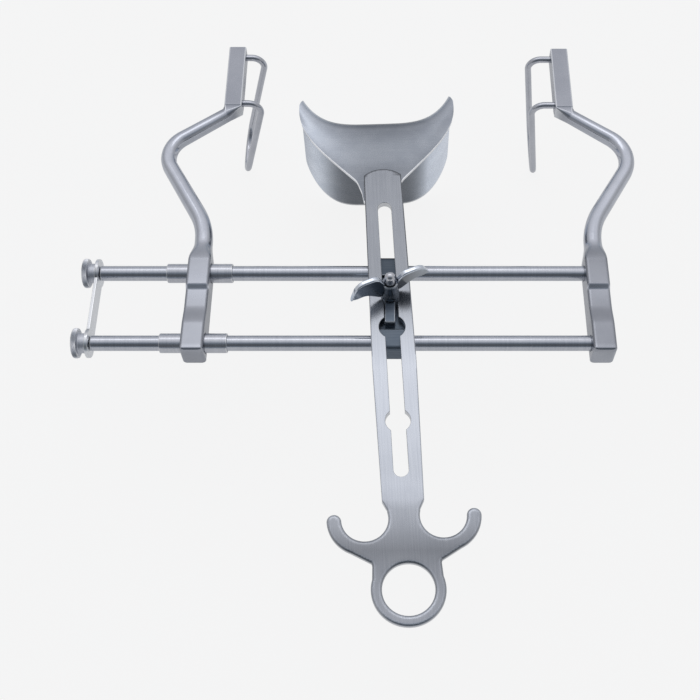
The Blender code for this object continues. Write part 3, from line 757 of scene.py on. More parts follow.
class Forge:
    """Builds the closed meshes that the pieces are made of."""

    MERGE = 1e-6
    TURNED_HOLD = 0.0004
    PLATE_HOLD = 0.0005
    SIDE_HOLD = 0.0003
    ROLLED_INSETS = (0.00012, 0.0002)
    FLAT_ANGLE = math.radians(1)

    @staticmethod
    def weld(work: bmesh.types.BMesh) -> bmesh.types.BMesh:
        """Merge doubles and turn the faces outwards.

        Args:
            work: The mesh.

        Returns:
            The same mesh.
        """
        bmesh.ops.remove_doubles(work, verts=work.verts, dist=Forge.MERGE)
        bmesh.ops.recalc_face_normals(work, faces=work.faces)
        return work

    @classmethod
    def turned(
        cls,
        profile: Sequence[Pair],
        closed: bool = False,
        steps: int = 96,
    ) -> bmesh.types.BMesh:
        """Revolve a profile about Z.

        Args:
            profile: Radius and height pairs.
            closed: Whether the profile is a ring of its own, as a tube's is.
            steps: Number of steps round.

        Returns:
            The closed solid.
        """
        work = bmesh.new()
        path = cls.held([Vector(point) for point in profile], cls.TURNED_HOLD, closed)
        verts = [work.verts.new((point.x, 0.0, point.y)) for point in path]
        pairs = list(zip(verts, verts[1:]))
        if closed:
            pairs.append((verts[-1], verts[0]))
        for a, b in pairs:
            work.edges.new((a, b))
        bmesh.ops.spin(
            work,
            geom=work.verts[:] + work.edges[:],
            cent=(0.0, 0.0, 0.0),
            axis=(0.0, 0.0, 1.0),
            dvec=(0.0, 0.0, 0.0),
            angle=math.tau,
            steps=steps,
            use_merge=True,
            use_duplicate=False,
        )
        return cls.weld(work)

    @classmethod
    def lofted(cls, rings: Sequence[Sequence[Vector]]) -> bmesh.types.BMesh:
        """Skin a row of equal rings by extruding the first along the others.

        Args:
            rings: Rings with the same number of points, in order.

        Returns:
            The closed solid.
        """
        work = bmesh.new()
        count = len(rings[0])
        bmesh.ops.create_circle(work, cap_ends=False, radius=1.0, segments=count)
        order = work.verts.layers.int.new("order")
        for i, vert in enumerate(work.verts):
            vert[order] = i
            vert.co = rings[0][i]
        first = work.edges[:]
        edges = first
        for ring in rings[1:]:
            grown = bmesh.ops.extrude_edge_only(work, edges=edges)["geom"]
            for item in grown:
                if isinstance(item, bmesh.types.BMVert):
                    item.co = ring[item[order]]
            edges = [item for item in grown if isinstance(item, bmesh.types.BMEdge)]
        bmesh.ops.edgeloop_fill(work, edges=first)
        bmesh.ops.edgeloop_fill(work, edges=edges)
        return cls.weld(work)

    @staticmethod
    def held(loop: Flat, reach: float, closed: bool = True) -> list[Vector]:
        """Add points near both ends of each long run, so that shading stays at the corners.

        Args:
            loop: Points of the path.
            reach: Distance of the new points from the corners.
            closed: Whether the path returns to its start.

        Returns:
            The path with its new points.
        """
        points = []
        for i, point in enumerate(loop):
            run = loop[(i + 1) % len(loop)] - point
            points.append(point)
            if run.length > 4 * reach and (closed or i < len(loop) - 1):
                points.append(point + run.normalized() * reach)
                points.append(point + run - run.normalized() * reach)
        return points

    @classmethod
    def plate(
        cls,
        loops: Sequence[Flat],
        thick: float,
        edge: float,
        roll: Roll | None = None,
    ) -> bmesh.types.BMesh:
        """Cut a flat plate with rounded edges out of closed outlines.

        Args:
            loops: The outline and then its holes.
            thick: Thickness along Z, half on each side of the outline.
            edge: Radius of the rounded edges.
            roll: Where and how the rims are rolled over.

        Returns:
            The closed solid.
        """
        curve = bpy.data.curves.new("outline", "CURVE")
        curve.dimensions = "2D"
        curve.fill_mode = "BOTH"
        curve.extrude = thick / 2 - edge
        curve.bevel_depth = edge
        curve.bevel_resolution = 3
        curve.offset = -edge
        loops = [cls.held(loop, cls.PLATE_HOLD) for loop in loops]
        for loop in loops:
            spline = curve.splines.new("POLY")
            spline.points.add(len(loop) - 1)
            for point, co in zip(spline.points, loop):
                point.co = (co[0], co[1], 0.0, 1.0)
            spline.use_cyclic_u = True
        work = cls.from_curve(curve)
        hold = thick / 2 - edge - cls.SIDE_HOLD
        up = (0.0, 0.0, 1.0)
        for height in (-hold, hold) if hold > cls.SIDE_HOLD else ():
            geom = work.verts[:] + work.edges[:] + work.faces[:]
            bmesh.ops.bisect_plane(work, geom=geom, plane_co=(0.0, 0.0, height), plane_no=up)
        level = thick / 2 - 1e-6
        flats = [f for f in work.faces if all(abs(v.co.z) > level for v in f.verts)]
        kept = set(flats)
        inner = [e for e in work.edges if all(f in kept for f in e.link_faces)]
        bmesh.ops.dissolve_limit(work, angle_limit=cls.FLAT_ANGLE, edges=inner, verts=[])
        flats = [f for f in work.faces if all(abs(v.co.z) > level for v in f.verts)]
        for step in cls.ROLLED_INSETS if roll else (edge * 0.6,):
            bmesh.ops.inset_region(work, faces=flats, thickness=step, use_even_offset=True)
        if roll:
            cls.rolled(work, flats, loops, thick / 2, roll)
        return work

    @staticmethod
    def rolled(
        work: bmesh.types.BMesh,
        flats: Sequence[bmesh.types.BMFace],
        loops: Sequence[Flat],
        half: float,
        roll: Roll,
    ) -> None:
        """Lower a plate's faces towards its rims, after a grid has been scored into them.

        Args:
            work: The plate.
            flats: Its two flat faces.
            loops: Its outlines.
            half: Half its thickness.
            roll: Where and how the rims are rolled over.
        """
        flats = bmesh.ops.triangulate(work, faces=flats, ngon_method="BEAUTY")["faces"]
        geom = set(flats)
        geom.update(vert for face in flats for vert in face.verts)
        geom.update(edge for face in flats for edge in face.edges)
        for axis, low, high in roll.zones:
            near = {item for item in geom if item.is_valid and roll.inside(item, low, high, axis)}
            count = round((high - low) / roll.pitch)
            for i in range(count + 1):
                spot = Vector((0.0, 0.0, 0.0))
                spot[axis] = low + (high - low) * i / count
                normal = Vector((0.0, 0.0, 0.0))
                normal[axis] = 1.0
                cut = bmesh.ops.bisect_plane(
                    work,
                    geom=[item for item in near if item.is_valid],
                    dist=Forge.MERGE,
                    plane_co=spot,
                    plane_no=normal,
                )
                near.update(cut["geom"])
            geom.update(near)
        rim = Rim(loops)
        wear_glint = work.verts.layers.float.new("wear_glint")
        tone = work.verts.layers.float.new("tone")
        reach = work.verts.layers.float.new("reach")
        for vert in work.verts:
            away = rim.distance(vert.co)
            vert[reach] = away
            # Edge mask and painted light by the distance from the rim.
            vert[wear_glint], vert[tone] = roll.surface(away, vert.co.y)
            drop = roll.drop(away, vert.co.y)
            if drop > 0.0:
                vert.co.z = math.copysign(min(abs(vert.co.z), half - drop), vert.co.z)
        level = half - 1e-7
        calm = {v for v in work.verts if abs(v.co.z) > level and v[reach] > roll.rim_width}
        plain = {f for f in work.faces if all(v in calm for v in f.verts)}
        spare = [e for e in work.edges if all(f in plain for f in e.link_faces)]
        bmesh.ops.dissolve_limit(work, angle_limit=Forge.FLAT_ANGLE, edges=spare, verts=[])

    @staticmethod
    def evaluated(holder: bpy.types.Object) -> bpy.types.Mesh:
        """Mesh of an object, with its curve or its modifiers worked out.

        Args:
            holder: The object.

        Returns:
            A new mesh.
        """
        bpy.context.view_layer.update()
        graph = bpy.context.evaluated_depsgraph_get()
        return bpy.data.meshes.new_from_object(holder.evaluated_get(graph))

    @classmethod
    def from_curve(cls, curve: bpy.types.Curve) -> bmesh.types.BMesh:
        """Turn a curve into a welded mesh.

        Args:
            curve: The curve, removed afterwards.

        Returns:
            Its mesh.
        """
        holder = linked("outline", curve)
        mesh = cls.evaluated(holder)
        work = bmesh.new()
        work.from_mesh(mesh)
        bpy.data.objects.remove(holder, do_unlink=True)
        bpy.data.curves.remove(curve)
        bpy.data.meshes.remove(mesh)
        return cls.weld(work)

    @classmethod
    def applied(
        cls,
        work: bmesh.types.BMesh,
        dress: Callable[[bpy.types.Object], None],
    ) -> bmesh.types.BMesh:
        """Run modifiers on a mesh and keep their result.

        Args:
            work: The mesh, freed afterwards.
            dress: Adds the modifiers to the object that holds the mesh.

        Returns:
            The mesh with its modifiers applied.
        """
        mesh = bpy.data.meshes.new("blank")
        work.to_mesh(mesh)
        work.free()
        holder = linked("blank", mesh)
        dress(holder)
        result = cls.evaluated(holder)
        done = bmesh.new()
        done.from_mesh(result)
        bpy.data.objects.remove(holder, do_unlink=True)
        for spent in (mesh, result):
            bpy.data.meshes.remove(spent)
        return done

    @classmethod
    def drilled(
        cls,
        work: bmesh.types.BMesh,
        bores: Sequence[tuple[Vector, float, float]],
    ) -> bmesh.types.BMesh:
        """Drill bores along X through a solid.

        Args:
            work: The solid, freed afterwards.
            bores: Middle, diameter and length of each bore.

        Returns:
            The drilled solid.
        """
        cutters = []
        for center, dia, length in bores:
            drill = bmesh.new()
            bmesh.ops.create_cone(
                drill, cap_ends=True, segments=64, radius1=dia / 2, radius2=dia / 2, depth=length
            )
            turn = Matrix.Translation(center) @ Matrix.Rotation(math.pi / 2, 4, "Y")
            bmesh.ops.transform(drill, matrix=turn, verts=drill.verts)
            mesh = bpy.data.meshes.new("drill")
            drill.to_mesh(mesh)
            drill.free()
            cutters.append(linked("drill", mesh))

        def cut(holder: bpy.types.Object) -> None:
            """Add one cut for each drill.

            Args:
                holder: The object that is drilled.
            """
            for cutter in cutters:
                modifier = holder.modifiers.new("bore", "BOOLEAN")
                modifier.operation = "DIFFERENCE"
                modifier.object = cutter
                modifier.solver = "EXACT"

        done = cls.applied(work, cut)
        for cutter in cutters:
            mesh = cutter.data
            bpy.data.objects.remove(cutter, do_unlink=True)
            bpy.data.meshes.remove(mesh)
        return done

    @staticmethod
    def moved(work: bmesh.types.BMesh, matrix: Matrix) -> bmesh.types.BMesh:
        """Move a mesh by a matrix."""
        bmesh.ops.transform(work, matrix=matrix, verts=work.verts)
        return work

    @staticmethod
    def joined(parts: Sequence[bmesh.types.BMesh]) -> bmesh.types.BMesh:
        """Put several shells into one mesh.

        Args:
            parts: The shells, freed afterwards.

        Returns:
            One mesh with all of them.
        """
        whole = bmesh.new()
        for part in parts:
            mesh = bpy.data.meshes.new("shell")
            part.to_mesh(mesh)
            part.free()
            whole.from_mesh(mesh)
            bpy.data.meshes.remove(mesh)
        return whole


class Shop:
    """Turns finished meshes into pieces of the instrument."""

    NARROWEST = 0.00012
    # Bend at which the edge mask, from handling together with a painted edge highlight, starts and
    # fills.
    WEAR_GLINT_FROM = 450.0
    WEAR_GLINT_RANGE = 900.0
    FACE_WEIGHT = 70

    @classmethod
    def worn_glinting_edges(cls, work: bmesh.types.BMesh) -> None:
        """Mark how sharply the surface bends outwards, where handling brightens it and a painted edge
        highlight lies.

        Args:
            work: The mesh, left alone where it has such marks.
        """
        if "wear_glint" in work.verts.layers.float:
            return
        layer = work.verts.layers.float.new("wear_glint")
        for vert in work.verts:
            bend = 0.0
            for edge in vert.link_edges:
                if len(edge.link_faces) != 2 or not edge.is_convex:
                    continue
                length = max(edge.calc_length(), 1e-6)
                width = min(face.calc_area() for face in edge.link_faces) / length
                bend = max(bend, edge.calc_face_angle(0.0) / max(width, cls.NARROWEST))
            vert[layer] = min(1.0, max(0.0, (bend - cls.WEAR_GLINT_FROM) / cls.WEAR_GLINT_RANGE))

    @classmethod
    def deliver(
        cls,
        name: str,
        work: bmesh.types.BMesh,
        finish: Finish,
        body: Body,
        node: str,
        angle: float = 40.0,
    ) -> bpy.types.Object:
        """Make the piece, dress it and put it on its body.

        Args:
            name: Name of the piece.
            work: Its mesh, freed afterwards.
            finish: Its surface.
            body: CAD body that it rides on.
            node: CAD node that it stands for.
            angle: Edges sharper than this in degrees stay sharp.

        Returns:
            The piece.
        """
        cls.worn_glinting_edges(work)
        if "tone" not in work.verts.layers.float:
            tone = work.verts.layers.float.new("tone")
            for vert in work.verts:
                vert[tone] = 1.0
        mesh = bpy.data.meshes.new(name)
        work.to_mesh(mesh)
        work.free()
        mesh.shade_smooth()
        mesh.set_sharp_from_angle(angle=math.radians(angle))
        piece = linked(name, mesh)
        mesh.materials.append(finish.material())
        weighted = piece.modifiers.new("even_shading", "WEIGHTED_NORMAL")
        weighted.keep_sharp = True
        weighted.weight = cls.FACE_WEIGHT
        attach(piece, body.value)
        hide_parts(node)
        LOG.info("%s: %d faces on %s", name, len(mesh.polygons), body.value)
        return piece


# Sub-assemblies


@dataclass
class Datum:
    """Places of the rails and the stud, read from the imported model."""

    stud_x: float = 0.0
    rail_y: float = 0.0
    rail_z: float = 0.0
    pitch: float = 0.0426

    @classmethod
    def from_frame(cls) -> "Datum":
        """Read the datum from the boxes of the rails and the stud.

        Returns:
            The datum.
        """
        front_low, front_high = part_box("front_rail")
        rear_low, rear_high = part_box("rear_rail")
        stud_low, stud_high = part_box("clamp_stud")
        front = (front_low[1] + front_high[1]) / 2
        rear = (rear_low[1] + rear_high[1]) / 2
        return cls(
            stud_x=(stud_low[0] + stud_high[0]) / 2,
            rail_y=(front + rear) / 2,
            rail_z=(front_low[2] + front_high[2]) / 2,
            pitch=rear - front,
        )

    def at(self, x: float = 0.0, y: float = 0.0, z: float = 0.0) -> Vector:
        """Point of the rail plane in the shared frame."""
        return Vector((self.stud_x + x, self.rail_y + y, self.rail_z + z))

    def rows(self) -> tuple[tuple[str, float], tuple[str, float]]:
        """Names and places of the two rails."""
        return (("front", -self.pitch / 2), ("rear", self.pitch / 2))


@dataclass
class Rails:
    """The two rails, the end strap and its knurled thumb nuts."""

    datum: Datum
    dia: float = 0.008
    start: float = -0.1535
    end: float = 0.1118
    tang_dia: float = 0.005
    tang: float = 0.0087
    strap_thick: float = 0.0018
    eye_radius: float = 0.0076
    waist: float = 0.0100
    nut_dia: float = 0.0156
    nut_thick: float = 0.0029
    neck_dia: float = 0.0104
    neck: float = 0.0037
    nut_edge: float = 0.0008
    knurls: int = 84
    knurl_depth: float = 0.00022
    chamfer: float = 0.0004
    chamfer_round: float = 0.00012
    thread_pitch: float = 0.0008
    thread_depth: float = 0.00022
    thread_plain: float = 0.0006
    strap_edge: float = 0.0003
    strap_side_shade: float = 0.72
    gap: float = 0.0003

    def build(self) -> None:
        """Make the rails, the strap and both nuts."""
        for row, y in self.datum.rows():
            self.rail(row, y)
            self.thumb_nut(row, y)
        self.strap()

    def along_x(self, x: float, y: float) -> Matrix:
        """Place that turns local Z along the rails."""
        return Matrix.Translation(self.datum.at(x, y)) @ Matrix.Rotation(math.pi / 2, 4, "Y")

    def rail(self, row: str, y: float) -> None:
        """Make one rail with its slimmer threaded end.

        Args:
            row: Name of the rail's row.
            y: Place of the rail.
        """
        radius = self.dia / 2
        slim = self.tang_dia / 2
        tip = self.start - self.tang
        cut = self.chamfer
        rounding = self.chamfer_round
        profile = [(0.0, self.end), (radius - cut, self.end)]
        profile += [(radius, self.end - cut), (radius, self.start + cut)]
        profile += [(radius - rounding, self.start + rounding), (radius - cut, self.start)]
        pitch = self.thread_pitch
        root = slim - self.thread_depth
        profile.append((slim - 0.0003, self.start))
        for i in range(int((self.tang - self.thread_plain) / pitch)):
            top = self.start - i * pitch
            profile += [(root, top - 0.15 * pitch), (slim, top - 0.5 * pitch)]
            profile.append((root, top - 0.85 * pitch))
        profile += [(slim - 0.0005, tip), (0.0, tip)]
        work = Forge.moved(Forge.turned(profile), self.along_x(0.0, y))
        Shop.deliver(f"{row}_rail_bar", work, RAIL_POLISH, Body.FRAME, f"{row}_rail")

    def thumb_nut(self, row: str, y: float) -> None:
        """Make one thumb nut with a straight knurl round its disc.

        Args:
            row: Name of the nut's row.
            y: Place of the nut.
        """
        disc = self.nut_dia / 2
        neck = self.neck_dia / 2
        bore = self.tang_dia / 2 + self.gap
        seat = -self.gap
        step = seat - self.neck
        back = step - self.nut_thick
        edge = self.nut_edge
        profile = [(neck - 0.0003, seat), (neck, seat - 0.0003), (neck, step + 0.0006)]
        profile += [(neck + 0.0002, step + 0.0002), (neck + 0.0006, step)]
        profile += [(disc - edge, step), (disc - 0.3 * edge, step - 0.3 * edge)]
        profile += [(disc, step - edge), (disc, (step + back) / 2), (disc, back + edge)]
        profile += [(disc - 0.3 * edge, back + 0.3 * edge), (disc - edge, back)]
        profile += [(bore + 0.0009, back), (bore + 0.0006, back + 0.0003), (bore, back + 0.0004)]
        profile.append((bore, seat))
        work = Forge.turned(profile, closed=True, steps=2 * self.knurls)
        for vert in work.verts:
            radius = math.hypot(vert.co.x, vert.co.y)
            if radius < disc - 0.6 * edge:
                continue
            turn = math.atan2(vert.co.y, vert.co.x) / math.tau * 2 * self.knurls
            if round(turn) % 2:
                keep = 1.0 - self.knurl_depth / radius
                vert.co.x *= keep
                vert.co.y *= keep
        place = self.along_x(self.start - self.gap - self.strap_thick, y)
        name = f"{row}_thumb_nut"
        body = Body.FRONT_NUT if row == "front" else Body.REAR_NUT
        Shop.deliver(f"{row}_knurled_nut", Forge.moved(work, place), KNURLED, body, name, 25.0)

    def strap(self) -> None:
        """Make the tie plate: two round eyes joined by a waist."""
        waist = self.waist / 2
        pitch = self.datum.pitch / 2
        angle = math.asin(waist / self.eye_radius)
        upper = arc((0.0, pitch), self.eye_radius, angle - math.pi / 2, 1.5 * math.pi - angle, 60)
        lower = arc((0.0, -pitch), self.eye_radius, math.pi / 2 + angle, 2.5 * math.pi - angle, 60)
        hole = self.tang_dia / 2 + self.gap
        holes = [arc((0.0, y), hole, 0.0, math.tau * 47 / 48, 47) for y in (pitch, -pitch)]
        work = Forge.plate([upper + lower, *holes], self.strap_thick, self.strap_edge)
        # Painted shade: the strap's sides between the eyes darker than its faces.
        tone = work.verts.layers.float.new("tone")
        for vert in work.verts:
            side = abs(vert.co.z) < self.strap_thick / 2 - 1e-5 and abs(vert.co.y) < pitch
            vert[tone] = self.strap_side_shade if side else 1.0
        face = self.start - self.gap - self.strap_thick / 2
        place = Matrix.Translation(self.datum.at(face)) @ Matrix.Rotation(-math.pi / 2, 4, "Y")
        Shop.deliver("end_strap_plate", Forge.moved(work, place), STRAP_STEEL, Body.FRAME, "end_strap")


FIXED_ARM_X = 0.1091
SLIDING_ARM_X = -0.1008


@dataclass
class ArmShape:
    """Where one arm bends, measured outwards and back from its crossbar."""

    root_out: float
    elbow_out: float
    elbow_y: float
    elbow_radius: float
    block_in: float
    block_y: float
    splay: float
    # Painted light on the crossbar: brightness of its top and of its sides.
    top_painted_light: float
    side_painted_light: float


FIXED_SHAPE = ArmShape(
    root_out=0.0006, elbow_out=0.0308, elbow_y=0.1028, elbow_radius=0.0195,
    block_in=0.0084, block_y=0.1322, splay=math.radians(7.3), top_painted_light=0.90, side_painted_light=1.06,
)
SLIDING_SHAPE = ArmShape(
    root_out=0.0, elbow_out=0.0294, elbow_y=0.1044, elbow_radius=0.0165,
    block_in=0.0100, block_y=0.1336, splay=math.radians(14.0), top_painted_light=0.98, side_painted_light=0.88,
)


@dataclass
class Arm:
    """One forged arm: crossbar, curved bar, loop block and its wire loop."""

    datum: Datum
    side: Side
    place_x: float
    shape: ArmShape
    crossbar_width: float = 0.0120
    crossbar_height: float = 0.0156
    overhang: float = 0.0079
    crossbar_edge: float = 0.0016
    tail: float = 0.0045
    pad_inset: float = 0.0106
    scoop_depth: float = 0.0020
    scoop_step: float = 0.0034
    width: float = 0.0094
    height: float = 0.0094
    tip_width: float = 0.0075
    tip_height: float = 0.0077
    crown: float = 0.0044
    heel: float = 0.0030
    bend_y: float = 0.0520
    bend_radius: float = 0.040
    bend_lead: float = 0.0120
    block_length: float = 0.0456
    block_size: float = 0.0100
    block_edge: float = 0.0007
    wire_dia: float = 0.0038
    loop_width: float = 0.0356
    loop_set_back: float = 0.0056
    leg_in: float = 0.0267
    loop_depth: float = 0.0698
    top_radius: float = 0.0070
    foot_radius: float = 0.0150
    socket_depth: float = 0.0047
    rail_bore: float = 0.0086
    rail_bore_length: float = 0.018
    bushing_bore: float = 0.0108
    bushing_bore_length: float = 0.024
    taper_power: float = 1.3
    scoop_share: float = 1.15
    mitre_leads: tuple[Pair, ...] = ((0.62, 0.93), (0.50, 0.95))
    mitre_drop: float = 0.0004
    mitre_step: float = 0.0006
    bar_from: float = 0.030
    bar_fade: float = 0.012
    block_margin: float = 0.004
    pad_from: float = 0.008
    pad_fade: float = 0.002
    # Painted shade on the fixed arm's pad and a painted highlight along the scoop's step.
    pad_painted_shade: float = 0.10
    step_glint: float = 1.3
    step_width: float = 0.0012
    top_from: float = 0.0050
    top_fade: float = 0.0005

    @property
    def fixed(self) -> bool:
        """Whether this is the arm that the rails are fixed in."""
        return self.side is Side.RIGHT

    def build(self) -> None:
        """Make the forging and its loop."""
        body = Body.FRAME if self.fixed else Body.SLIDING_SIDE
        name = "fixed" if self.fixed else "sliding"
        work = Forge.lofted(self.rings())
        work = Forge.drilled(work, self.bores())
        self.toned(work)
        place = Matrix.Translation(self.datum.at(self.place_x))
        Forge.moved(work, place)
        Shop.deliver(f"{name}_arm_forging", work, SATIN, body, f"{name}_arm", 30.0)
        loop = Forge.moved(self.loop(), place)
        Shop.deliver(f"{name}_wire_loop", loop, WIRE_POLISH, body, f"{name}_side_loop")

    def toned(self, work: bmesh.types.BMesh) -> None:
        """Even out the edge mask along the curved bar and paint light on the crossbar: lit or shaded
        top and sides, painted shade on the fixed arm's pad, a painted highlight along the scoop's step.

        Args:
            work: The forging, in the arm's own frame.
        """
        Shop.worn_glinting_edges(work)
        wear_glint = work.verts.layers.float["wear_glint"]
        tone = work.verts.layers.float.new("tone")
        for vert in work.verts:
            y = vert.co.y
            bar = ease(0.0, 1.0, (y - self.bar_from) / self.bar_fade)
            if bar > 0.0 and y < self.shape.block_y - self.block_margin:
                vert[wear_glint] *= 1.0 - bar
            # Painted light on the crossbar, fading out along the bar.
            pad = ease(0.0, 1.0, (y - self.pad_from) / self.pad_fade) * (1.0 - bar)
            top = self.shape.top_painted_light * (1.0 - self.pad_painted_shade * pad if self.fixed else 1.0)
            step = y - self.datum.pitch / 2 + self.pad_inset + self.scoop_step * 0.5
            top *= 1.0 + self.step_glint * math.exp(-((step / self.step_width) ** 2))
            side = ease(self.shape.side_painted_light, top, (vert.co.z - self.top_from) / self.top_fade)
            vert[tone] = side + (1.0 - side) * bar

    def bores(self) -> list[tuple[Vector, float, float]]:
        """Bores for the rails or for the bushings that ride on them.

        Returns:
            Middle, diameter and length of each bore.
        """
        half = self.crossbar_width / 2
        bores = []
        for _, y in self.datum.rows():
            if self.fixed:
                bores.append((Vector((-half, y, 0.0)), self.rail_bore, self.rail_bore_length))
            else:
                bores.append((Vector((0.0, y, 0.0)), self.bushing_bore, self.bushing_bore_length))
        return bores

    def bar_section(self, t: float) -> list[Pair]:
        """Section of the curved bar, from its root at 0 to its tip at 1.

        Args:
            t: Place along the bar.

        Returns:
            Side and height pairs.
        """
        t = t**self.taper_power
        width = self.width + (self.tip_width - self.width) * t
        half = (self.height + (self.tip_height - self.height) * t) / 2
        return section(width, half, half, self.crown, self.heel)

    def crossbar_rings(self) -> list[tuple[float, float, list[Pair]]]:
        """Stations along the crossbar.

        Returns:
            Side place, place along Y and section of each station.
        """
        front = -self.datum.pitch / 2 - self.overhang
        half = self.crossbar_height / 2
        pad = self.datum.pitch / 2 - self.pad_inset
        low = half - self.scoop_depth
        edge = self.crossbar_edge
        wide = self.crossbar_width
        stations = []

        def add(x: float, y: float, *sizes: float) -> None:
            """Note one station, with its section's width, top, bottom, crown and heel."""
            stations.append((x, y, section(*sizes)))

        for i in range(6):
            turn = i / 5 * math.pi / 2
            inset = edge * (1 - math.sin(turn))
            y = front + edge * (1 - math.cos(turn))
            add(0.0, y, wide - 2 * inset, half - inset, half - inset, edge, edge)
        steps = 18
        for i in range(steps + 1):
            y = -pad - self.scoop_step + i * pad * self.scoop_share / steps
            add(0.0, y, wide, ease(half, low, i / steps), half, edge, edge)
        for i in range(9):
            y = pad - self.scoop_step * (1 - i / 8)
            add(0.0, y, wide, ease(low, half, i / 8), half, edge, edge)
        pad_end = self.datum.pitch / 2 + self.tail
        for i in range(15):
            t = i / 14
            y = pad_end + (self.bend_y - self.bend_lead - pad_end) * t
            depth = ease(half, self.height / 2, t)
            width = ease(wide, self.width, t)
            crown = ease(edge, self.crown, t)
            heel = ease(edge, self.heel, t)
            add(ease(0.0, self.shape.root_out, t), y, width, depth, depth, crown, heel)
        return stations

    def path(self) -> list[Vector]:
        """Centre line of the bar, from the crossbar to the block's end.

        Returns:
            Flat points, with the bends rounded.
        """
        shape = self.shape
        front = -self.datum.pitch / 2 - self.overhang
        corners = [
            Vector((shape.root_out, front)),
            Vector((shape.root_out, self.bend_y)),
            Vector((shape.elbow_out, shape.elbow_y)),
            Vector((-shape.block_in, shape.block_y)),
            Vector((-shape.block_in, shape.block_y + self.block_length)),
        ]
        radii = (0.0, self.bend_radius, shape.elbow_radius, 0.0, 0.0)
        return rounded_path(corners, radii, step=math.radians(3))

    def rings(self) -> list[list[Vector]]:
        """Every ring of the forging, from the crossbar's end to the block's end.

        Returns:
            Rings with the same number of points.
        """
        rings: list[list[Vector]] = []
        side = self.side.value

        def add(place: Vector, tangent: Vector, outline: list[Pair]) -> None:
            """Stand one section across the path.

            Args:
                place: Middle of the ring.
                tangent: Direction of the path.
                outline: Side and height pairs.
            """
            across = Vector((tangent.y, -tangent.x))
            ring = []
            for s, h in outline:
                flat = place + across * s
                ring.append(Vector((flat.x * side, flat.y, h)))
            rings.append(ring)

        straight = Vector((0.0, 1.0))
        for x, y, outline in self.crossbar_rings():
            add(Vector((x, y)), straight, outline)
        path = self.path()
        mitre = path[-2]
        length = sum((path[i + 1] - path[i]).length for i in range(1, len(path) - 2))
        done = 0.0
        for i in range(1, len(path) - 2):
            tangent = (path[i + 1] - path[i - 1]).normalized()
            add(path[i], tangent, self.bar_section(done / length))
            done += (path[i + 1] - path[i]).length
        size = self.block_size
        half = size / 2
        edge = self.block_edge
        run = (mitre - path[-3]).normalized()
        low = self.tip_height / 2
        for lead, t in self.mitre_leads:
            add(mitre - run * size * lead, run, self.bar_section(t))
        add(mitre, straight, section(size, half - self.mitre_drop, low, edge, edge))
        add(mitre + straight * self.mitre_step, straight, section(size, half, low, edge, edge))
        add(mitre + straight * size * 0.5, straight, section(size, half, half, edge, edge))
        for i in range(5):
            turn = i / 4 * math.pi / 2
            inset = edge * (1 - math.cos(turn)) * 0.9
            back = edge * (1 - math.sin(turn))
            outline = section(size - 2 * inset, half - inset, half - inset, edge, edge)
            add(path[-1] - straight * back, straight, outline)
        return rings

    def loop(self) -> bmesh.types.BMesh:
        """Bend the wire: out of the block, down with a splay and back up.

        Returns:
            The wire's mesh.
        """
        side = self.side.value
        face = -(self.shape.block_in + self.block_size / 2)
        root = face + self.socket_depth
        leg = -self.leg_in
        foot = leg + self.loop_depth * math.tan(self.shape.splay)
        front = self.shape.block_y + self.loop_set_back
        rear = front + self.loop_width
        corners = [
            Vector((root * side, front, 0.0)),
            Vector((leg * side, front, 0.0)),
            Vector((foot * side, front, -self.loop_depth)),
            Vector((foot * side, rear, -self.loop_depth)),
            Vector((leg * side, rear, 0.0)),
            Vector((root * side, rear, 0.0)),
        ]
        radii = (0.0, self.top_radius, self.foot_radius, self.foot_radius, self.top_radius, 0.0)
        points = rounded_path(corners, radii, step=math.radians(4))
        curve = bpy.data.curves.new("wire", "CURVE")
        curve.dimensions = "3D"
        curve.bevel_depth = self.wire_dia / 2
        curve.bevel_resolution = 10
        curve.use_fill_caps = True
        spline = curve.splines.new("POLY")
        spline.points.add(len(points) - 1)
        for point, co in zip(spline.points, points):
            point.co = (co.x, co.y, co.z, 1.0)
        return Forge.from_curve(curve)


@dataclass
class Bushings:
    """The two guide tubes that carry the sliding arm on the rails."""

    datum: Datum
    place_x: float
    dia: float = 0.0102
    length: float = 0.0347
    bore: float = 0.0086
    edge: float = 0.00035
    bore_edge: float = 0.0002

    def build(self) -> None:
        """Make both tubes."""
        outer = self.dia / 2
        inner = self.bore / 2
        half = self.length / 2
        edge = self.edge
        ends = [(outer - edge, half), (outer - 0.3 * edge, half - 0.3 * edge), (outer, half - edge)]
        profile = ends + [(r, -z) for r, z in reversed(ends)]
        cut = self.bore_edge
        profile += [(inner + cut, -half), (inner, cut - half), (inner, half - cut), (inner + cut, half)]
        for row, y in self.datum.rows():
            place = Matrix.Translation(self.datum.at(self.place_x, y))
            place = place @ Matrix.Rotation(math.pi / 2, 4, "Y")
            work = Forge.moved(Forge.turned(profile, closed=True), place)
            node = f"{row}_bushing"
            Shop.deliver(f"{row}_guide_tube", work, BUSHING_POLISH, Body.SLIDING_SIDE, node)


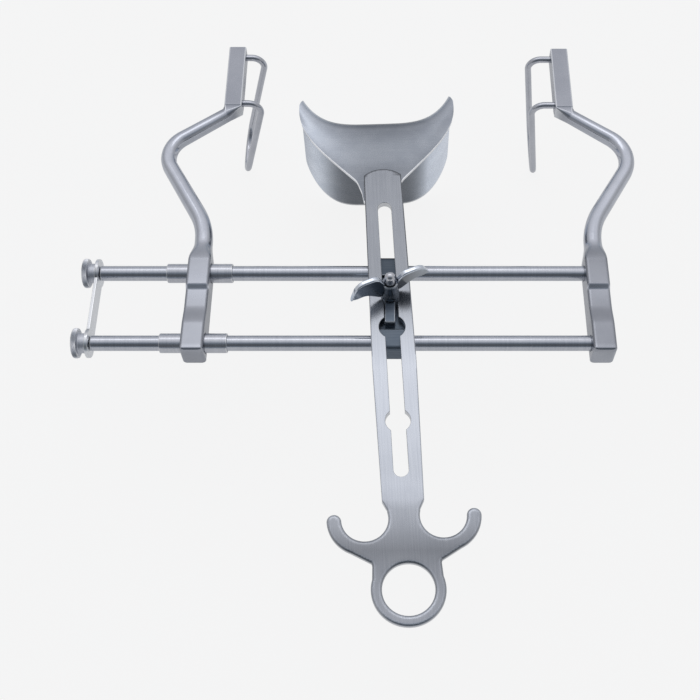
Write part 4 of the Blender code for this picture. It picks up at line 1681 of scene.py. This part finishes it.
@dataclass
class Clamp:
    """Carriage on both rails, with its key, its stud and the wing nut."""

    datum: Datum
    width: float = 0.0170
    boss_top: float = 0.0062
    boss_bottom: float = 0.0066
    boss_outer: float = 0.0066
    boss_inner: float = 0.0052
    bridge_top: float = 0.0042
    bridge_bottom: float = 0.0040
    key_width: float = 0.0054
    key_front: float = 0.0145
    key_rear: float = 0.0105
    handle_thick: float = 0.0038
    stud_dia: float = 0.0054
    stud_y: float = 0.0020
    stud_top: float = 0.0290
    head_dia: float = 0.0090
    head: float = 0.0016
    hub_foot: float = 0.0098
    hub_crown: float = 0.0080
    hub_height: float = 0.0112
    ear_span: float = 0.0218
    ear_top: float = 0.0178
    ear_thick: float = 0.0031
    ear_lean: float = -0.10
    ear_root: float = 0.0022
    ear_start: float = 0.0034
    ear_step: float = 0.0007
    crest: tuple[Pair, ...] = ((0.30, 1.0), (0.80, 1.0), (1.0, 0.50))
    crest_radii: tuple[float, ...] = (0.0, 0.0042, 0.0075, 0.0)
    keel: tuple[Pair, ...] = ((0.0, 0.09), (0.28, 0.09), (0.60, 0.40), (1.0, 0.36))
    keel_radii: tuple[float, ...] = (0.0, 0.0012, 0.0080, 0.0)
    tip_round: float = 0.0042
    tip_blunt: float = 0.0011
    ear_taper: float = 0.30
    ear_waist: float = 0.50
    lean_level: float = 0.004
    # Painted light of the wing nut: a painted highlight along the ears' crests, painted shade down
    # their sides and over the hub, each ear with its own brightness.
    rim_highlight: float = 1.20
    rim_depth: float = 0.0008
    rim_fade: float = 0.0006
    # Edge mask on the ears' crests and the hub's top: handling together with a painted edge highlight.
    rim_wear_glint: float = 0.7
    wear_glint_depth: float = 0.0004
    wear_glint_fade: float = 0.0007
    dark: float = 0.45
    near_ear_light: float = 2.3
    far_ear_light: float = 1.2
    hub_wear_glint: float = 0.6
    ear_turn: float = math.radians(24.8)
    corner: float = 0.0022
    small_corner: float = 0.0008
    rail_bore: float = 0.0086
    block_edge: float = 0.0004
    key_edge: float = 0.00035
    key_below: float = 0.0006
    gap: float = 0.0003

    def build(self) -> None:
        """Make the carriage, the stud and the wing nut."""
        self.carriage()
        self.stud()
        self.wing_nut()

    def carriage(self) -> None:
        """Make the block: two bored bosses, a bridge and the key on it."""
        pitch = self.datum.pitch / 2
        outer = pitch + self.boss_outer
        inner = pitch - self.boss_inner
        right = [
            Vector((inner, -self.bridge_bottom)),
            Vector((inner, -self.boss_bottom)),
            Vector((outer, -self.boss_bottom)),
            Vector((outer, self.boss_top)),
            Vector((inner, self.boss_top)),
            Vector((inner, self.bridge_top)),
        ]
        left = [Vector((-p.x, p.y)) for p in reversed(right)]
        big = self.corner
        small = self.small_corner
        radii = (small, small, big, big, small, small)
        outline = rounded_path(right + left, radii + radii[::-1], True, math.radians(12))
        round_bore = (self.rail_bore / 2, 0.0, math.tau * 63 / 64, 63)
        bores = [arc((y, 0.0), *round_bore) for _, y in self.datum.rows()]
        body = Forge.plate([outline, *bores], self.width, self.block_edge)
        stand = Matrix(((0, 0, 1, 0), (1, 0, 0, 0), (0, 1, 0, 0), (0, 0, 0, 1)))
        Forge.moved(body, stand)
        top = self.boss_top + self.gap + self.handle_thick - self.key_below
        corners = [
            Vector((-self.key_front, 0.0)),
            Vector((self.key_rear, 0.0)),
            Vector((self.key_rear, top)),
            Vector((-self.key_front, top)),
        ]
        shape = rounded_path(corners, (0.0, 0.0, small, small), True, math.radians(12))
        key = Forge.moved(Forge.plate([shape], self.key_width, self.key_edge), stand)
        work = Forge.moved(Forge.joined([body, key]), Matrix.Translation(self.datum.at()))
        Shop.deliver("clamp_carriage", work, CARRIAGE_STEEL, Body.CLAMP, "carriage")

    def stud(self) -> None:
        """Make the stud with its domed top and flat head."""
        radius = self.stud_dia / 2
        head = self.head_dia / 2
        seat = -self.bridge_bottom - self.gap
        dome = arc((0.0, self.stud_top - radius), radius, math.pi / 2, 0.0, 16)
        profile = [(max(0.0, p.x), p.y) for p in dome]
        profile[0] = (0.0, self.stud_top)
        profile += [(radius, seat), (head - 0.0002, seat), (head, seat - 0.0002)]
        profile += [(head, seat - self.head + 0.0004), (head - 0.0004, seat - self.head)]
        profile.append((0.0, seat - self.head))
        work = Forge.moved(Forge.turned(profile), Matrix.Translation(self.datum.at(0.0, self.stud_y)))
        Shop.deliver("clamp_stud_pin", work, STUD_POLISH, Body.CLAMP, "clamp_stud")

    def ear(self, dark: float) -> bmesh.types.BMesh:
        """Loft one ear outwards from the hub, thick in its rim and thin below.

        Args:
            dark: Painted shade of the ear's sides at its tip, set against the painted highlight along
                its rim.

        Returns:
            The ear, pointing along X.
        """
        span = self.ear_span
        top = self.ear_top
        upper = [Vector((self.ear_root, self.hub_height - self.ear_step))]
        upper += [Vector((span * out, top * up)) for out, up in self.crest]
        lower = [Vector((span * out, top * up)) for out, up in self.keel]
        lower[0].x = self.ear_root
        crest = rounded_path(upper, self.crest_radii, step=0.1)
        keel = rounded_path(lower, self.keel_radii, step=0.1)
        rings = []
        count = 44
        for i in range(count + 1):
            t = i / count
            x = self.ear_start + (span - self.ear_start) * (1 - (1 - t) ** 1.5)
            high = height_at(crest, x)
            low = height_at(keel, x)
            middle = (high + low) / 2
            near = min(1.0, (span - x) / self.tip_round)
            half = (high - low) / 2 * max(0.05, math.sqrt(1 - (1 - near) ** 2))
            blunt = 1.0 - min(1.0, (span - x) / self.tip_blunt)
            full = max(0.15, math.sqrt(1 - blunt**2))
            rings.append(self.ear_ring(x, middle, half, t, full))
        work = Forge.lofted(rings)
        tone = work.verts.layers.float.new("tone")
        wear_glint = work.verts.layers.float.new("wear_glint")
        # Painted highlight along the crest and painted shade down the sides, darker towards the hub;
        # the crest also takes the edge mask.
        for vert in work.verts:
            depth = height_at(crest, vert.co.x) - vert.co.z
            side = dark * ease(0.25, 1.0, vert.co.x / span)
            vert[tone] = ease(self.rim_highlight, side, (depth - self.rim_depth) / self.rim_fade)
            vert[wear_glint] = ease(self.rim_wear_glint, 0.0, (depth - self.wear_glint_depth) / self.wear_glint_fade)
        return work

    def ear_ring(self, x: float, middle: float, half: float, t: float, full: float) -> list[Vector]:
        """One section of an ear.

        Args:
            x: Distance from the hub's axis.
            middle: Height of the section's middle.
            half: Half of its height.
            t: Place along the ear, from 0 at the hub to 1 at the tip.
            full: Share of the full thickness, less near the tip.

        Returns:
            The ring of points.
        """
        rim = self.ear_thick * (1.0 - self.ear_taper * t)
        ring = []
        for s, h in section(rim, half, half, rim * 0.30, rim * 0.42):
            waist = ease(self.ear_waist, 1.0, (h - half + rim * 1.1) / (rim * 0.7))
            lean = self.ear_lean * (middle + h - self.lean_level)
            ring.append(Vector((x, s * waist * full + lean, middle + h)))
        return ring

    def wing_nut(self) -> None:
        """Make the hub and its two ears."""
        foot = self.hub_foot / 2
        crown = self.hub_crown / 2
        bore = self.stud_dia / 2 + self.gap
        height = self.hub_height
        profile = [(crown - 0.0006, height), (crown - 0.0002, height - 0.0002)]
        profile.append((crown, height - 0.0006))
        for i in range(9):
            t = i / 8
            profile.append((ease(crown, foot, t), 0.0052 - 0.0040 * t))
        profile += [(foot, 0.0004), (foot - 0.0003, 0.0), (bore + 0.0003, 0.0), (bore, 0.0003)]
        profile += [(bore, height - 0.0004), (bore + 0.0004, height)]
        hub = Forge.turned(profile, closed=True)
        tone = hub.verts.layers.float.new("tone")
        wear_glint = hub.verts.layers.float.new("wear_glint")
        # Painted shade over the whole hub, standing for the dark surroundings it reflects; its top edge
        # takes the edge mask.
        for vert in hub.verts:
            vert[tone] = self.dark
            vert[wear_glint] = ease(0.0, self.hub_wear_glint, (vert.co.z - height + 0.0007) / 0.0004)
        far = self.ear(self.dark * self.far_ear_light)
        near = Forge.moved(self.ear(self.dark * self.near_ear_light), Matrix.Rotation(math.pi, 4, "Z"))
        work = Forge.joined([hub, far, near])
        level = self.boss_top + self.gap + self.handle_thick + self.gap
        place = Matrix.Translation(self.datum.at(0.0, self.stud_y, level))
        Forge.moved(work, place @ Matrix.Rotation(self.ear_turn, 4, "Z"))
        Shop.deliver("eared_wing_nut", work, DARK_POLISH, Body.WING_NUT, "wing_nut")


@dataclass
class Handle:
    """Slotted handle with two finger rests and a finger ring."""

    datum: Datum
    origin_y: float = 0.0020
    level: float = 0.0084
    turn: float = math.radians(3.1)
    thick: float = 0.0038
    edge: float = 0.0003
    rolled: float = 0.00135
    end_rolled: float = 0.0009
    crown: float = 0.00022
    crown_reach: float = 0.0025
    width: float = 0.0223
    widest_y: float = -0.040
    rear: float = 0.0815
    rear_width: float = 0.0204
    end_radius: float = 0.0150
    end_corner: float = 0.0006
    shoulder: float = 0.1132
    shoulder_width: float = 0.0198
    shoulder_drop: float = 0.0045
    shoulder_radii: tuple[float, ...] = (0.0, 0.0, 0.30, 0.0012, 0.0)
    slot_width: float = 0.0073
    slot_rear: float = 0.0584
    slot_front: float = 0.1014
    keyholes: tuple[tuple[float, float], ...] = ((0.0193, 0.0134), (0.0720, 0.0124))
    rest_radius: float = 0.0109
    rest_x: float = 0.0183
    rest_y: float = 0.1211
    hook_width: float = 0.0069
    hook_tip: float = math.radians(-3.0)
    ring_y: float = 0.1555
    ring_outer: float = 0.0171
    ring_inner: float = 0.0120
    rest_start: float = math.radians(165)
    hook_end: float = math.radians(-66)
    ring_start: float = math.radians(18)
    crown_from: float = 0.004
    crown_fade: float = 0.008
    ring_from: float = 0.006
    ring_fade: float = 0.010
    end_from: float = 0.009
    end_fade: float = 0.005
    grid_pitch: float = 0.0007
    ring_zone: Pair = (-0.1735, -0.1085)
    hook_zone: Pair = (-0.0345, 0.0345)
    end_zone: Pair = (0.0745, 0.0815)
    # Place along the handle where the painted shade at the rear end starts.
    end_shade_from: float = 0.0750

    def place(self) -> Matrix:
        """Place of the handle's own frame."""
        point = self.datum.at(0.0, self.origin_y, self.level)
        return Matrix.Translation(point) @ Matrix.Rotation(self.turn, 4, "Z")

    def outline(self) -> list[Vector]:
        """Bar, finger rests, hooks and ring in one outline.

        Returns:
            The closed outline.
        """
        rest = (self.rest_x, -self.rest_y)
        middle = self.rest_radius + self.hook_width / 2
        tip = Vector(rest) + middle * Vector((math.cos(self.hook_tip), math.sin(self.hook_tip)))
        outer = self.rest_radius + self.hook_width
        half = self.rear_width / 2
        lean = math.asin((half - self.end_corner) / self.end_radius)
        drop = self.end_radius * (1 - math.cos(lean))
        shoulder_y = -self.shoulder
        bar = [
            Vector((0.0, self.rear)),
            Vector((half, self.rear - drop - self.end_corner)),
            Vector((self.width / 2, self.widest_y)),
            Vector((self.shoulder_width / 2, shoulder_y)),
            Vector((self.rest_x - self.rest_radius * 0.97, shoulder_y - self.shoulder_drop)),
        ]
        end_center = (0.0, self.rear - self.end_radius)
        right = arc(end_center, self.end_radius, math.pi / 2, math.pi / 2 - lean, 20)
        right += rounded_path(bar, self.shoulder_radii, step=0.1)[1:]
        right += arc(rest, self.rest_radius, self.rest_start, math.tau + self.hook_tip, 56)
        right += arc(tip, self.hook_width / 2, math.pi + self.hook_tip, self.hook_tip, 20)[1:-1]
        right += arc(rest, outer, self.hook_tip, self.hook_end, 28)
        crotch_y = -self.ring_y + self.ring_outer * 0.72
        right.append(Vector((self.ring_outer * 0.95, crotch_y + 0.0004)))
        right.append(Vector((self.ring_outer * 0.93, crotch_y - 0.0006)))
        ring = (0.0, -self.ring_y)
        right += arc(ring, self.ring_outer, self.ring_start, math.radians(-90), 44)
        return self.mirrored(right)

    @staticmethod
    def mirrored(right: list[Vector]) -> list[Vector]:
        """Close an outline whose right half runs from one middle point to the other."""
        return right + [Vector((-p.x, p.y)) for p in reversed(right[1:-1])]

    def slot(self) -> list[Vector]:
        """Long slot with its two keyholes.

        Returns:
            The closed outline.
        """
        half = self.slot_width / 2
        right = arc((0.0, half - self.slot_front), half, -math.pi / 2, 0.0, 12)
        for place, dia in reversed(self.keyholes):
            mouth = math.acos(self.slot_width / dia)
            right += arc((0.0, -place), dia / 2, -mouth, mouth, 18)
        right += arc((0.0, self.slot_rear - half), half, 0.0, math.pi / 2, 12)
        return self.mirrored(right)

    def crown_depth(self, y: float) -> float:
        """Depth of the crown's fall round the finger rests and the ring."""
        return ease(self.crown, 0.0, (y + self.shoulder + self.crown_from) / self.crown_fade)

    def rim_radius(self, y: float) -> float:
        """Rim radius along the handle: rolled round the rests and the ring, and at the rear end.

        Args:
            y: Place along the handle.

        Returns:
            The radius.
        """
        ring = ease(self.rolled, self.edge, (y + self.shoulder + self.ring_from) / self.ring_fade)
        end = ease(self.edge, self.end_rolled, (y - self.rear + self.end_from) / self.end_fade)
        return max(ring, end)

    def build(self) -> None:
        """Cut the handle out of its plate."""
        hole = arc((0.0, -self.ring_y), self.ring_inner, 0.0, math.tau * 95 / 96, 95)
        loops = [self.outline(), self.slot(), hole]
        roll = Roll(
            radius=self.rim_radius,
            crown=self.crown_depth,
            reach=self.crown_reach,
            pitch=self.grid_pitch,
            zones=((1, *self.ring_zone), (0, *self.hook_zone), (1, *self.end_zone)),
            start=self.ring_zone[1],
            end_shade=self.end_shade_from,
        )
        work = Forge.moved(Forge.plate(loops, self.thick, self.edge, roll), self.place())
        Shop.deliver("slotted_handle", work, BRUSHED, Body.BLADE, "blade_handle")


@dataclass
class Blade:
    """Saddle-shaped centre blade: flange, bend and hanging plate."""

    datum: Datum
    handle: Handle
    thick: float = 0.0016
    half_width: float = 0.0442
    front: float = 0.0620
    bend_y: float = 0.1199
    bend_radius: float = 0.0070
    rise: float = 0.0020
    sweep: float = 0.0205
    foot: float = 0.0730
    corner: float = 0.0280
    corner_rise: float = 0.0230
    horn_y: float = 0.1180
    fillet: float = 0.0030
    fillet_drop: float = 0.0050
    shift: float = -0.0013
    twist: float = math.radians(-0.9)
    boss_top: float = 0.0062
    columns: int = 120
    flange_rows: int = 24
    bend_rows: int = 16
    plate_rows: int = 30
    column_power: float = 1.25
    neck_share: float = 0.9
    rim_rise: float = 0.0105
    rim_curl: float = 0.14
    sweep_power: float = 3.8
    horn_pull: float = 0.016
    horn_reach: float = 0.0060
    rim_pull: float = 0.030
    rim_reach: float = 0.0140
    rim_edge: float = 0.00075
    pivot_y: float = 0.1
    # Painted light: the flange darker, partly as a satin sheet beside a brighter plate, and lighter
    # towards its sides; the plate with painted reflections down its sides and painted shade below the
    # handle.
    flange_tone: float = 0.362
    flange_light_left: float = 0.50
    flange_light_right: float = 0.20
    plate_painted_shade: float = 0.34
    plate_reflection_left: float = 0.90
    plate_reflection_right: float = 1.45
    plate_reflection_most: float = 1.30
    light_place: float = 0.86
    light_width: float = 0.24

    def rim(self, x: float) -> float:
        """Front rim of the flange at a distance from the middle.

        Args:
            x: Distance from the middle.

        Returns:
            Place of the rim along Y.
        """
        neck = self.handle.rear_width / 2
        inner = neck * self.neck_share
        if x < inner:
            return self.front
        t = (x - inner) / (self.half_width - inner)
        start = self.front + self.rim_rise
        line = start + (self.horn_y - start) * ((1.0 - self.rim_curl) * t + self.rim_curl * t**6)
        near = max(0.0, 1.0 - max(0.0, x - neck) / self.fillet)
        return line - self.fillet_drop * near**2

    def plate_painted_light(self, x: float) -> float:
        """Painted light on the hanging plate: painted reflections down its sides and painted shade
        below the handle.

        Args:
            x: Distance from the middle, of either sign.

        Returns:
            The brightness.
        """
        side = abs(x) / self.half_width
        light = self.plate_reflection_left if x < 0 else self.plate_reflection_right
        off = (side - self.light_place) / self.light_width
        return min(self.plate_reflection_most, self.plate_painted_shade + light * math.exp(-(off**2)))

    def profile(self, x: float) -> list[Vector]:
        """Side profile of the inner face at a distance from the middle.

        Args:
            x: Distance from the middle, of either sign.

        Returns:
            Place along Y and height of each row.
        """
        t = abs(x) / self.half_width
        back = self.bend_y - self.thick + self.sweep * t**self.sweep_power
        top = self.boss_top - self.thick
        rim = Vector((self.rim(abs(x)), top))
        crest = Vector((back, top + self.rise))
        over = max(0.0, abs(x) - (self.half_width - self.corner))
        lift = self.corner_rise * (1 - math.sqrt(max(0.0, 1 - (over / self.corner) ** 2)))
        foot = Vector((back, lift - self.foot))
        bend = min(self.bend_radius, (crest - rim).length * 0.8)
        turn = round_corner(rim, crest, foot, bend, count=self.bend_rows)
        flat = max(rim.x, min(self.handle.rear + self.thick, turn[0].x))
        run = []
        for i in range(self.flange_rows):
            y = rim.x + (turn[0].x - rim.x) * i / self.flange_rows
            rise = ease(0.0, 1.0, (y - flat) / max(0.0001, turn[0].x - flat))
            run.append(Vector((y, top + (turn[0].y - top) * rise)))
        fall = []
        for i in range(self.plate_rows):
            fall.append(turn[-1] + (foot - turn[-1]) * (i + 1) / self.plate_rows)
        return run + turn + fall

    def build(self) -> None:
        """Shape a grid into the blade and give it its thickness."""
        rows = self.flange_rows + self.bend_rows + self.plate_rows
        work = bmesh.new()
        bmesh.ops.create_grid(work, x_segments=self.columns, y_segments=rows, size=1.0)
        tone = work.verts.layers.float.new("tone")
        profiles: dict[int, list[Vector]] = {}
        for vert in work.verts:
            column = round((vert.co.x + 1) / 2 * self.columns)
            row = round((vert.co.y + 1) / 2 * rows)
            u = column / self.columns * 2 - 1
            u = math.copysign(1 - (1 - abs(u)) ** self.column_power, u)
            x = u * self.half_width
            if column not in profiles:
                profiles[column] = self.profile(x)
            line = profiles[column]
            point = line[row]
            crest = line[self.flange_rows + self.bend_rows // 2]
            pull = ease(self.horn_pull, 0.0, (point - crest).length / self.horn_reach)
            if row < self.flange_rows:
                pull += ease(self.rim_pull, 0.0, (point.x - line[0].x) / self.rim_reach)
            vert.co = (x * (1.0 - pull * abs(u) ** 8), point.x, point.y)
            # Painted light: flange and plate brightness, blended across the bend.
            hang = ease(0.0, 1.0, (row - self.flange_rows) / self.bend_rows)
            lift = self.flange_light_left if u < 0 else self.flange_light_right
            flange = self.flange_tone + lift * abs(u) ** 2
            vert[tone] = flange + (self.plate_painted_light(x) - flange) * hang
        work.normal_update()

        def dress(holder: bpy.types.Object) -> None:
            """Add the sheet's thickness and its rounded rim.

            Args:
                holder: The object that holds the sheet.
            """
            shell = holder.modifiers.new("sheet", "SOLIDIFY")
            shell.thickness = self.thick
            shell.offset = 1.0 if self.faces_out(holder.data) else -1.0
            rim = holder.modifiers.new("rim", "BEVEL")
            rim.width = self.rim_edge
            rim.segments = 3
            rim.limit_method = "ANGLE"
            rim.angle_limit = math.radians(60)

        work = Forge.applied(work, dress)
        bmesh.ops.recalc_face_normals(work, faces=work.faces)
        place = Matrix.Translation(self.datum.at(0.0, self.handle.origin_y))
        place = place @ Matrix.Rotation(self.handle.turn, 4, "Z")
        place = place @ Matrix.Translation((self.shift, self.pivot_y, 0.0))
        place = place @ Matrix.Rotation(self.twist, 4, "Z")
        place = place @ Matrix.Translation((0.0, -self.pivot_y, 0.0))
        Forge.moved(work, place)
        Shop.deliver("centre_blade_sheet", work, BLADE_SATIN, Body.BLADE, "centre_blade", 50.0)

    @staticmethod
    def faces_out(mesh: bpy.types.Mesh) -> bool:
        """Whether the flange's faces point up, by one face near its middle.

        Args:
            mesh: The sheet without its thickness.

        Returns:
            Whether they do.
        """
        near_y = 0.07
        first = min(mesh.polygons, key=lambda face: abs(face.center.x) + abs(face.center.y - near_y))
        return first.normal.z > 0.0


# Studio


@dataclass
class Studio:
    """Pale floor, soft sky, softbox and the camera of the photograph."""

    datum: Datum
    camera_place: Color = (0.0, -0.3021, 0.4994)
    tilt: float = math.radians(29)
    lens: float = 57.34
    shift_x: float = -0.05714
    sensor: float = 36.0
    floor_radius: float = 4.0
    floor_paint: Color = (0.72, 0.72, 0.72)
    floor_seen: float = 0.9
    floor_shine: float = 0.46
    pale: Color = (0.962, 0.962, 0.962)
    backdrop: Color = (0.93, 0.93, 0.93)
    sky_ends: Color = (0.50, 0.50, 0.51)
    sky_fade: Pair = (0.45, 0.98)
    sky_shine: float = 0.1
    cold: float = 0.30
    cold_below: float = 0.7
    warm_gain: float = 1.04
    box_size: Pair = (0.80, 0.30)
    box_energy: float = 0.60
    box_aim: Pair = (-0.15, -0.055)
    box_lean: float = math.radians(30)
    box_distance: float = 1.1
    sky: tuple[Pair, ...] = field(
        default=(
            (-180, 0.45), (-95, 0.45), (-84, 0.21), (-72, 0.04), (-48, 0.04), (-30, 0.18),
            (-12, 0.60), (6, 0.92), (26, 0.98), (42, 0.94), (62, 0.70), (90, 0.45), (180, 0.45),
        )
    )

    def build(self) -> None:
        """Set up the colour transform, the light, the floor and the camera."""
        bpy.context.scene.view_settings.view_transform = "Standard"
        self.world()
        self.softbox()
        self.floor()
        self.camera()

    def world(self) -> None:
        """Soft sky, bright overhead and behind, darker low in front."""
        world = bpy.data.worlds.new("studio_sky")
        bpy.context.scene.world = world
        world.use_nodes = True
        sheet = NodeSheet(world.node_tree)
        view = sheet.node("ShaderNodeTexCoord", output="Generated")
        split = sheet.node("ShaderNodeSeparateXYZ", None, {"Vector": view})
        parts = split.socket.node.outputs
        x, y, z = (Signal(sheet, parts[i]) for i in range(3))
        angle = y.arctan2(z)
        along = angle * (0.5 / math.pi) + 0.5
        stops = []
        for degrees, v in self.sky:
            cold = self.cold * max(0.0, 1.0 - v / self.cold_below)
            color = (v * (1 - cold), v, v * (self.warm_gain + cold))
            stops.append(((degrees + 180) / 360, color))
        light_band = sheet.node("ShaderNodeValToRGB", {"stops": stops}, {"Fac": along}, "Color")
        far = abs(x).ease(*self.sky_fade)
        sky = sheet.mix(far, light_band, (*self.sky_ends, 1.0))
        plain = self.background(sheet, 1.0, self.sky_shine)
        light = sheet.mix(plain, sky, (*self.backdrop, 1.0))
        shader = sheet.node("ShaderNodeBackground", None, {"Color": light, "Strength": 1.0})
        sheet.result("ShaderNodeOutputWorld", shader)

    @staticmethod
    def background(sheet: NodeSheet, seen: float, shine: float) -> Signal:
        """How much of the plain background a ray sees.

        Args:
            sheet: The shader tree.
            seen: Share for the camera's own rays and for glass.
            shine: Share for reflections.

        Returns:
            The share for the ray at hand.
        """
        path = sheet.node("ShaderNodeLightPath", output="Is Camera Ray")
        rays = path.socket.node.outputs
        glossy = Signal(sheet, rays["Is Glossy Ray"])
        through = Signal(sheet, rays["Is Transmission Ray"])
        return path * seen + through * seen + glossy * shine

    def softbox(self) -> None:
        """Hang one long softbox above and behind the instrument."""
        lamp = bpy.data.lights.new("softbox", "AREA")
        lamp.shape = "RECTANGLE"
        lamp.size, lamp.size_y = self.box_size
        lamp.energy = self.box_energy
        box = linked("softbox", lamp)
        aim = self.datum.at(*self.box_aim)
        lean = self.box_lean
        box.location = aim + Vector((0.0, math.sin(lean), math.cos(lean))) * self.box_distance
        box.rotation_euler = (-lean, 0.0, 0.0)

    def floor(self) -> None:
        """Lay a round pale floor that keeps a faint shadow."""
        work = bmesh.new()
        bmesh.ops.create_circle(work, cap_ends=True, radius=self.floor_radius, segments=96)
        mesh = bpy.data.meshes.new("floor")
        work.to_mesh(mesh)
        work.free()
        floor = linked("floor", mesh)
        mat = bpy.data.materials.new("pale_floor")
        mat.use_nodes = True
        sheet = NodeSheet(mat.node_tree)
        paint = sheet.node("ShaderNodeBsdfDiffuse", None, {"Color": (*self.floor_paint, 1.0)})
        glow = sheet.node("ShaderNodeEmission", None, {"Color": (*self.pale, 1.0), "Strength": 1.0})
        seen = self.background(sheet, self.floor_seen, self.floor_shine)
        shader = sheet.node("ShaderNodeMixShader", None, {0: seen, 1: paint, 2: glow})
        sheet.result("ShaderNodeOutputMaterial", shader)
        mesh.materials.append(mat)

    def camera(self) -> None:
        """Stand the camera where the photograph was taken from."""
        data = bpy.data.cameras.new("camera")
        data.lens = self.lens
        data.sensor_width = self.sensor
        data.shift_x = self.shift_x
        camera = linked("camera", data)
        camera.location = self.datum.at(*self.camera_place)
        camera.rotation_euler = (self.tilt, 0.0, 0.0)
        bpy.context.scene.camera = camera


def main() -> None:
    """Build every sub-assembly in order and note the sizes."""
    logging.basicConfig(level=logging.INFO, format="%(message)s")
    datum = Datum.from_frame()
    handle = Handle(datum)
    Rails(datum).build()
    Arm(datum, Side.RIGHT, FIXED_ARM_X, FIXED_SHAPE).build()
    Arm(datum, Side.LEFT, SLIDING_ARM_X, SLIDING_SHAPE).build()
    Bushings(datum, SLIDING_ARM_X).build()
    Clamp(datum).build()
    handle.build()
    Blade(datum, handle).build()
    Studio(datum).build()
    bpy.context.view_layer.update()


if __name__ == "__main__":
    main()
